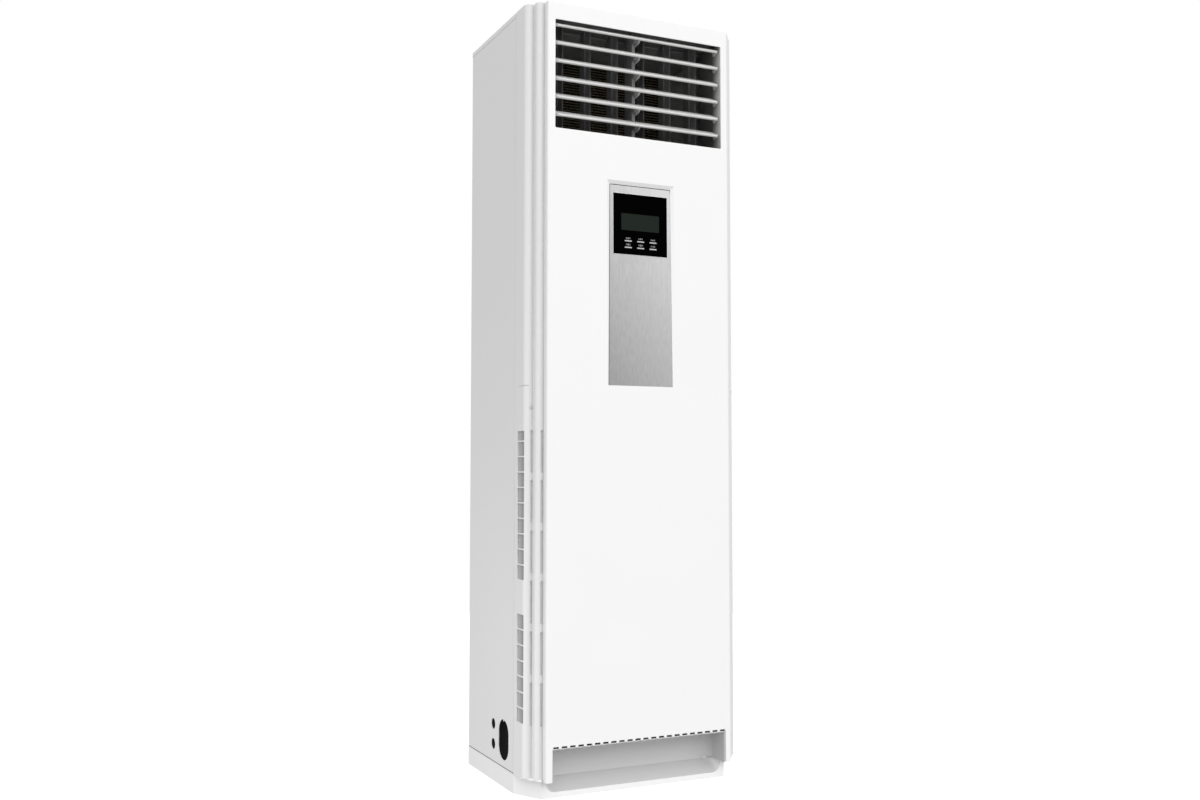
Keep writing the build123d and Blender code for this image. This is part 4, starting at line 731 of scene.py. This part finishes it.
# %% From grids to a piece
def add_piece(name, grids, finish, body="cabinet", crease=35.0):
    """Mesh piece from a stack of ring grids, smooth but for edges sharper than the crease."""
    points = []
    faces = []
    base = 0
    for grid in grids:
        if enclosed(grid) < 0:
            grid = grid[:, ::-1]
        rows, cols, _ = grid.shape
        faces += closed_faces(rows, cols, base)
        points.append(grid.reshape(-1, 3))
        base += rows * cols
    mesh = bpy.data.meshes.new(name)
    mesh.from_pydata(np.concatenate(points).tolist(), [], faces)
    mesh.shade_smooth()
    mesh.set_sharp_from_angle(angle=math.radians(crease))
    mesh.materials.append(finish.material)
    piece = bpy.data.objects.new(name, mesh)
    scene.collection.objects.link(piece)
    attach(piece, body)
    print(name, len(mesh.vertices), "points", len(mesh.polygons), "faces")


print("add_piece: grids to a riding piece")

# %% [markdown]
# ## Tubes along a path
# A tube is a circle carried along a path. At each point of the path it stands square to the path:
# two unit vectors across the direction of travel span the circle's plane. Places are in
# millimetres, measured back from the front face, as on a drawing, until the last step.

# %% Tubes along a path
MM = 0.001
HALF_DEPTH = 201.5


def at(x, distance, z):
    """Point in metres from millimetres: across, behind the front face, and up."""
    return np.stack(np.broadcast_arrays(x, distance - HALF_DEPTH, z), axis=-1) * MM


def across(path, hint):
    """Two unit vectors square to the path at each of its points, the first near the hint."""
    travel = np.gradient(path, axis=0)
    travel /= np.linalg.norm(travel, axis=1, keepdims=True)
    side = hint - travel * (travel @ hint)[:, None]
    side /= np.linalg.norm(side, axis=1, keepdims=True)
    return side, np.cross(travel, side)


def tube(path, radius, sides, hint=(0.0, 1.0, 0.0)):
    """Rings of a tube: path + radius * (cos a * side + sin a * other), a once around."""
    side, other = across(path, np.asarray(hint))
    turn = np.linspace(0, 2 * np.pi, sides, endpoint=False)[None, :, None]
    ring = np.cos(turn) * side[:, None] + np.sin(turn) * other[:, None]
    return path[:, None] + radius * MM * ring


print("tube: a circle along a path")

# %% [markdown]
# ## Coil lines
# Through the louvres the coil shows as fine level lines, seven millimetres apart, on a dark face.
# They are thin rods across the fins, laid up the slanted face. Closer lines would be finer than the
# picture's pixels, and would turn into a slanted pattern that no real coil has.

# %% Coil lines
# the coil's lower and upper end behind the front face and up, and the place of its face on it
COIL_FOOT = (150.0, 846.0)
COIL_HEAD = (300.0, 1734.0)
COIL_HALF = 193.0
COIL_FRONT = 22.6
LINE_PITCH = 7.4
LINE_RADIUS = 1.3
slope = np.subtract(COIL_HEAD, COIL_FOOT)
coil_length = math.hypot(*slope)
slope /= coil_length
ends = np.array((-COIL_HALF, COIL_HALF))
rods = []
for step in np.arange(LINE_PITCH, coil_length, LINE_PITCH):
    distance = COIL_FOOT[0] + step * slope[0] - COIL_FRONT * slope[1]
    height = COIL_FOOT[1] + step * slope[1] + COIL_FRONT * slope[0]
    rods.append(tube(at(ends, distance, height), LINE_RADIUS, 8))
line_brown = moulded("line_brown", (0.215, 0.18, 0.11), 0.5, 0.0)
add_piece("coil_lines", rods, line_brown)

# %% [markdown]
# ## Pipe lagging
# Cooling pipes wear black foam. Each sleeve is a tube that follows the pipe down its leg, round
# the bend and out to the port, then turns in at its end to the pipe, so that it has a wall.

# %% Pipe lagging
# out from the middle of the cabinet, and up
LEG_X = 229.0
LAGGING_END = 256.4
LAGGING_TOP = 420.0
PIPE_BEND = 12.0
LEG_RINGS = 23
BEND_RINGS = 9
RUN_RINGS = 4
foam_black = moulded("foam_black", grey(0.012), 0.95, 0.8, 0.002)


def lagging(name, distance, exit_height, pipe_radius, foam_radius, sides=20):
    """Foam sleeve: down the leg, a quarter round of the bend, out to the port, and closed ends."""
    leg = np.linspace(LAGGING_TOP, exit_height + PIPE_BEND, LEG_RINGS, endpoint=False)
    bend = np.linspace(0, np.pi / 2, BEND_RINGS)
    run = np.linspace(-LEG_X - PIPE_BEND, -LAGGING_END, RUN_RINGS + 1)[1:]
    bend_x = -LEG_X - PIPE_BEND * (1 - np.cos(bend))
    bend_z = exit_height + PIPE_BEND * (1 - np.sin(bend))
    x = np.concatenate((np.full_like(leg, -LEG_X), bend_x, run))
    z = np.concatenate((leg, bend_z, np.full_like(run, exit_height)))
    path = at(x, distance, z)
    inside = tube(path, pipe_radius, sides)
    foam = np.concatenate((inside[:1], tube(path, foam_radius, sides), inside[-1:]))
    add_piece(name, [foam], foam_black)


lagging("gas_lagging", 165.5, 118.0, 7.95, 11.6)
lagging("liquid_lagging", 148.5, 88.0, 4.76, 8.4)

# %% [markdown]
# ## Port boot
# A black rubber boot closes the hollow behind the pipe port. Its rings are rounded slots: two half
# circles joined by straight sides. They shrink towards the pipes, then turn back as the outer wall.

# %% Port boot
PORT_DISTANCE = 163.0
PORT_HEIGHT = 105.8
RUBBER_CREASE = 50
# each ring's place across the cabinet, half its width and half its height
BOOT_PROFILE = (
    (-257.6, 1.0, 14.0),
    (-257.8, 22.0, 35.0),
    (-258.6, 26.0, 39.5),
    (-261.5, 29.4, 43.1),
    (-266.0, 31.0, 44.8),
    (-268.3, 34.5, 48.3),
    (-267.3, 34.8, 48.6),
    (-265.4, 32.2, 46.0),
    (-260.9, 30.6, 44.3),
    (-257.8, 27.2, 40.7),
    (-256.9, 22.4, 35.6),
    (-256.7, 1.0, 14.0),
)


def slot_ring(x, half_wide, half_tall, sides=24):
    """Rounded slot in an upright plane: half circles of half_wide, moved up and down."""
    turn = np.linspace(0, 2 * np.pi, 2 * sides, endpoint=False) + np.pi / (2 * sides)
    straight = half_tall - half_wide
    rise = np.sin(turn) * half_wide + np.sign(np.sin(turn)) * straight
    return at(x, PORT_DISTANCE + np.cos(turn) * half_wide, PORT_HEIGHT + rise)


boot = np.stack([slot_ring(*ring) for ring in BOOT_PROFILE])
rubber_black = moulded("rubber_black", grey(0.008), 0.8, 0.3, IOR=1.2)
add_piece("port_boot", [boot], rubber_black, crease=RUBBER_CREASE)

# %% [markdown]
# ## Entry plugs
# The two round entries beside the port are closed by rubber plugs. A plug is a shallow dish: round
# rings that grow to a rim over the edge of the hole, then go back inside it.

# %% Entry plugs
# each entry's distance behind the front face, height and radius
ENTRIES = ((229.5, 130.0, 12.4), (229.5, 84.2, 12.4))
# each ring's place across the cabinet, and its share of the radius
PLUG_PROFILE = (
    (-265.2, 0.1),
    (-265.6, 0.8),
    (-268.2, 1.15),
    (-266.8, 1.18),
    (-264.2, 0.85),
    (-263.9, 0.1),
)


def entry_plug(distance, height, radius, sides=28):
    """Round rings: the profile's share of the radius, times cosine and sine once around."""
    turn = np.linspace(0, 2 * np.pi, sides, endpoint=False)
    x, share = np.array(PLUG_PROFILE).T[:, :, None]
    behind = distance + np.cos(turn) * share * radius
    return at(x, behind, height + np.sin(turn) * share * radius)


plugs = [entry_plug(*entry) for entry in ENTRIES]
add_piece("entry_plugs", plugs, rubber_black, crease=RUBBER_CREASE)

# %% [markdown]
# ## Bead along the column's foot
# Each corner column ends in a spread foot that covers the edge of the base. Its edge is rounded,
# and the round catches the light as a thin bright line; the bead's plastic is also painted lighter
# than the column's, as a painted highlight. The bead is a tube along that edge in plan: down the
# side, round the corner and along the slant to the front panel's leg. It stands a little proud of
# the slant only, because the side is as far out as the cabinet may reach.

# %% Bead along the column's foot
# in plan, out from the middle and behind the front face: where the side meets the slant, and where
# the slant meets the front panel's leg
FOOT_BEND = np.array((270.0, 62.0))
FOOT_FRONT = np.array((239.0, 14.0))
FOOT_ROUND = 13.0
SIDE_RUN = (84.0, 76.0)
BEAD_RADIUS = 2.3
BEAD_INSET = 0.5
BEAD_HEIGHT = 43.2
ARC_POINTS = 10


def foot_edge(sign):
    """Side run, arc and slant of the foot in plan, each point moved in by its own inset."""
    slant = FOOT_FRONT - FOOT_BEND
    slant /= np.linalg.norm(slant)
    angle = math.acos(-slant[1])
    tangent = FOOT_ROUND * math.tan(angle / 2)
    turn = np.linspace(0, angle, ARC_POINTS)
    away = np.column_stack((np.cos(turn), -np.sin(turn)))
    middle = FOOT_BEND + (-FOOT_ROUND, tangent)
    # the bead comes out past the edge only as the arc turns away from the side
    share = np.linspace(0, 1, ARC_POINTS)[:, None]
    inset = BEAD_RADIUS - (BEAD_RADIUS - BEAD_INSET) * share ** 2
    round_edge = middle + away * (FOOT_ROUND - inset)
    side = np.array([(round_edge[0, 0], distance) for distance in SIDE_RUN])
    # the slant goes on from the arc's last point, without that point itself
    share = np.linspace(0.1, 1, 8)[:, None]
    front = round_edge[-1] + share * (FOOT_FRONT - FOOT_BEND - slant * tangent)
    plan = np.concatenate((side, round_edge, front))
    return at(sign * plan[:, 0], plan[:, 1], BEAD_HEIGHT)


# lighter than the column's plastic: a painted highlight on the round
bead_highlight_white = moulded("bead_highlight_white", grey(0.9), 0.4, 0.03)
beads = [tube(foot_edge(sign), BEAD_RADIUS, 14, hint=(0.0, 0.0, 1.0)) for sign in (-1, 1)]
add_piece("foot_beads", beads, bead_highlight_white)

# %% [markdown]
# ## Strokes on the window
# The marks over the keys are drawn in strokes. A stroke is a flat bar with a little thickness,
# carried along a line on the window. The window leans back with the recess, so its face lies deeper
# the higher it is.

# %% Strokes on the window
PLATE_FOOT = 909.0
PLATE_BEHIND = 1.0
PLATE_LEAN = 0.007592
WINDOW_PROUD = 1.2
STROKE_WIDE = 0.9
STROKE_PROUD = 0.12
STROKE_SUNK = 0.1


def window_face(z):
    """How far behind the front face the window's surface lies at this height, in millimetres."""
    return PLATE_BEHIND + (z - PLATE_FOOT) * PLATE_LEAN - WINDOW_PROUD


def stroke(line):
    """Bar along a line of (across, up) points: line + sign * side, sunk and proud, at each."""
    line = np.asarray(line, dtype=float)
    travel = np.gradient(line, axis=0)
    travel /= np.linalg.norm(travel, axis=1, keepdims=True)
    side = np.column_stack((-travel[:, 1], travel[:, 0])) * STROKE_WIDE / 2
    sign = np.array((-1, 1, 1, -1))[:, None]
    rise = np.array((-STROKE_SUNK, -STROKE_SUNK, STROKE_PROUD, STROKE_PROUD))
    x, z = np.moveaxis(line[:, None] + sign * side[:, None], -1, 0)
    return at(x, window_face(z) - rise, z)


def arc(centre, radius, start, end, count=18):
    """Points on part of a circle, angles in degrees from the right."""
    turn = np.radians(np.linspace(start, end, count))
    return np.column_stack((centre[0] + radius * np.cos(turn), centre[1] + radius * np.sin(turn)))


print("strokes", STROKE_WIDE, "mm wide, window leans", PLATE_LEAN)

# %% [markdown]
# ## Power and arrows
# Six plain signs say what the keys do. Each is a few strokes round its middle, in millimetres, and
# has two short dashes on each side, so that it reads as a wide mark from across a room. The first
# three are a power sign and an arrow each way.


# %% Power and arrows
def dashes(x, z):
    """Two short level dashes on each side of a sign."""
    ends = [(x + side * 3.1, x + side * 5.6, z + up) for side in (-1, 1) for up in (-0.9, 0.9)]
    return [stroke([(near, height), (far, height)]) for near, far, height in ends]


def power_sign(x, z):
    """Broken ring with an upright bar."""
    ring = stroke(arc((x, z - 0.2), 1.7, 120, 420))
    return [ring, stroke([(x, z + 0.3), (x, z + 2.1)])] + dashes(x, z)


def arrow(x, z, way):
    """Arrow that points up or down."""
    tip = z + 1.8 * way
    left = stroke([(x - 2.1, z - 0.4 * way), (x, tip)])
    right = stroke([(x, tip), (x + 2.1, z - 0.4 * way)])
    return [left, right, stroke([(x, z - 1.8 * way), (x, tip)])] + dashes(x, z)


print("power sign", len(power_sign(0, 0)), "strokes, arrow", len(arrow(0, 0, 1)), "strokes")

# %% [markdown]
# ## Fan, clock and level
# The other three signs are a fan, for its speed, a clock, for its timer, and three growing bars,
# for a level. Round strokes are arcs with enough points to look smooth at their size.


# %% Fan, clock and level
def fan_sign(x, z):
    """Three round blades."""
    blades = []
    for start in (30, 150, 270):
        turn = math.radians(start)
        middle = (x + 1.05 * math.cos(turn), z + 1.05 * math.sin(turn))
        blades.append(stroke(arc(middle, 0.85, start - 160, start + 180)))
    return blades + dashes(x, z)


def clock_sign(x, z):
    """Ring with two hands."""
    face = stroke(arc((x, z), 1.9, 0, 360, 24)[:-1])
    return [face, stroke([(x, z + 1.3), (x, z)]), stroke([(x, z), (x + 1.1, z)])] + dashes(x, z)


def bars_sign(x, z):
    """Three bars that grow to the right, as for a level."""
    tops = ((-1.8, -0.4), (0, 0.7), (1.8, 1.8))
    bars = [stroke([(x + step, z - 1.6), (x + step, z + top)]) for step, top in tops]
    return bars + dashes(x, z)


print("fan sign", len(fan_sign(0, 0)), "strokes, clock", len(clock_sign(0, 0)), "strokes")

# %% [markdown]
# ## Captions over the keys
# The signs stand in two rows of three, each a little above the middle of its key. They are one
# piece, because they are one print, and bright enough to read as pale marks on the black.

# %% Captions over the keys
KEY_PITCH = 32.0
UPPER_MARKS = 1241.8 + 6.3
LOWER_MARKS = 1226.8 + 6.6
marks = [
    *power_sign(-KEY_PITCH, UPPER_MARKS),
    *arrow(0, UPPER_MARKS, 1),
    *arrow(KEY_PITCH, UPPER_MARKS, -1),
    *fan_sign(-KEY_PITCH, LOWER_MARKS),
    *clock_sign(0, LOWER_MARKS),
    *bars_sign(KEY_PITCH, LOWER_MARKS),
]
print_grey = moulded("print_grey", grey(0.34), 0.5, 0.0)
add_piece("key_captions", marks, print_grey)

# %% [markdown]
# ## Cord round an outline
# The window's lip and the plate's painted shadow cord are both a round cord along a closed outline.
# The outline lies nearly upright, so at each point the circle is spanned by the way out of the
# outline and the way to the front. The first ring comes again as the last, which closes the cord.


# %% Cord round an outline
def ring_round(outline, distance, radius, sides=10):
    """Rings: outline + radius * (cos a * outward + sin a * forward), a once around."""
    travel = np.roll(outline, -1, axis=0) - np.roll(outline, 1, axis=0)
    travel /= np.linalg.norm(travel, axis=1, keepdims=True)
    outward = np.column_stack((travel[:, 1], np.zeros(len(travel)), -travel[:, 0]))
    turn = np.linspace(0, 2 * np.pi, sides, endpoint=False)[None, :, None]
    centre = at(outline[:, 0], distance, outline[:, 1])[:, None]
    forward = np.array((0.0, -1.0, 0.0))
    wide = np.broadcast_to(radius, len(outline))[:, None, None] * MM
    rings = centre + wide * (np.cos(turn) * outward[:, None] + np.sin(turn) * forward)
    return np.concatenate((rings, rings[:1]))


print("ring_round: a cord along a closed outline")

# %% [markdown]
# ## Window lip
# A bright stamped lip runs round the display window: a small half round carried along a rounded
# rectangle. It lies in the plane of the leaning plate, and its other half is sunk in it.

# %% Window lip
WINDOW_HALF = 69.75
WINDOW_SPAN = (1210.25, 1351.25)
LIP_CORNER = 0.9
LIP_RADIUS = 0.55
LIP_SUNK = 1.05
right = WINDOW_HALF - LIP_CORNER
foot = WINDOW_SPAN[0] + LIP_CORNER
head = WINDOW_SPAN[1] - LIP_CORNER
corners = ((right, head, 0), (-right, head, 90), (-right, foot, 180), (right, foot, 270))
outline = np.concatenate([arc((x, z), LIP_CORNER, turn, turn + 90, 6) for x, z, turn in corners])
lip = ring_round(outline, window_face(outline[:, 1]) + LIP_SUNK, LIP_RADIUS)
lip_bright = drawn("lip_bright", grey(0.85), 0.25, "Z", 0.9, 0.03)
add_piece("window_lip", [lip], lip_bright)

# %% [markdown]
# ## Shadow cord round the plate
# A thin dark cord lies in the joint between the silver plate and the slanted walls of its recess:
# painted shade, standing for the shadow in that joint. The cord is wider on the left and at the
# top, where the shadow falls, and nearly flat on the other two sides. It is a round cord, bent once
# round the plate's four corners: wider at the foot than at the head, as the plate is.

# %% Shadow cord round the plate
PLATE_HEAD = 1370.0
PLATE_HALF = (82.0, 78.0)
SHADOW_CORD_SUNK = 0.2
SHADOW_CORD_WIDE = 0.95
SHADOW_CORD_THIN = 0.3


def plate_edge(count=40):
    """Closed outline of the plate: straight runs between four corners, drawn as points."""
    wide, narrow = PLATE_HALF
    turns = np.array((
        (wide, PLATE_FOOT),
        (narrow, PLATE_HEAD),
        (-narrow, PLATE_HEAD),
        (-wide, PLATE_FOOT),
        (wide, PLATE_FOOT),
    ))
    share = np.linspace(0, 1, count, endpoint=False)[:, None]
    runs = [near + share * (far - near) for near, far in zip(turns[:-1], turns[1:])]
    return np.concatenate(runs)


edge = plate_edge()
# the left run and the head, within a millimetre: there the painted shadow is wider
shows = (edge[:, 0] < -PLATE_HALF[1] + 1) | (edge[:, 1] > PLATE_HEAD - 1)
shadow_cord_radius = np.where(shows, SHADOW_CORD_WIDE, SHADOW_CORD_THIN)
plate_face = window_face(edge[:, 1]) + WINDOW_PROUD
shadow_cord = ring_round(edge, plate_face + SHADOW_CORD_SUNK, shadow_cord_radius)
# a dark cord as painted shade in the plate's joint
shadow_cord_grey = moulded("shadow_cord_grey", grey(0.1), 0.7, 0.0)
add_piece("plate_shadow_cord", [shadow_cord], shadow_cord_grey)

# %% [markdown]
# ## Floor
# The cabinet stands on a lit white table, as in a product studio. The floor glows by itself, so it
# stays white to the camera, and only the contact shadow under the base is left. It doesn't light
# the cabinet, because the lower half of the room already does that.

# %% Floor
FLOOR_RADIUS = 3.2
FLOOR_SIDES = 96
FLOOR_GLOW = 0.8
rim = np.linspace(0.0, 2 * np.pi, FLOOR_SIDES, endpoint=False)
floor_points = np.column_stack((np.cos(rim), np.sin(rim), np.zeros(FLOOR_SIDES))) * FLOOR_RADIUS
floor_mesh = bpy.data.meshes.new("floor")
floor_mesh.from_pydata(floor_points.tolist(), [], [list(range(FLOOR_SIDES))])
floor = bpy.data.objects.new("floor", floor_mesh)
scene.collection.objects.link(floor)
table = moulded("table", grey(0.5), 0.9, 0.0, 0.01, Emission_Color=WHITE)
table.set(Emission_Strength=FLOOR_GLOW, Specular_IOR_Level=0.0)
floor_mesh.materials.append(table.material)
floor.visible_diffuse = False
floor.visible_glossy = False
print("floor", 2 * FLOOR_RADIUS, "m across")
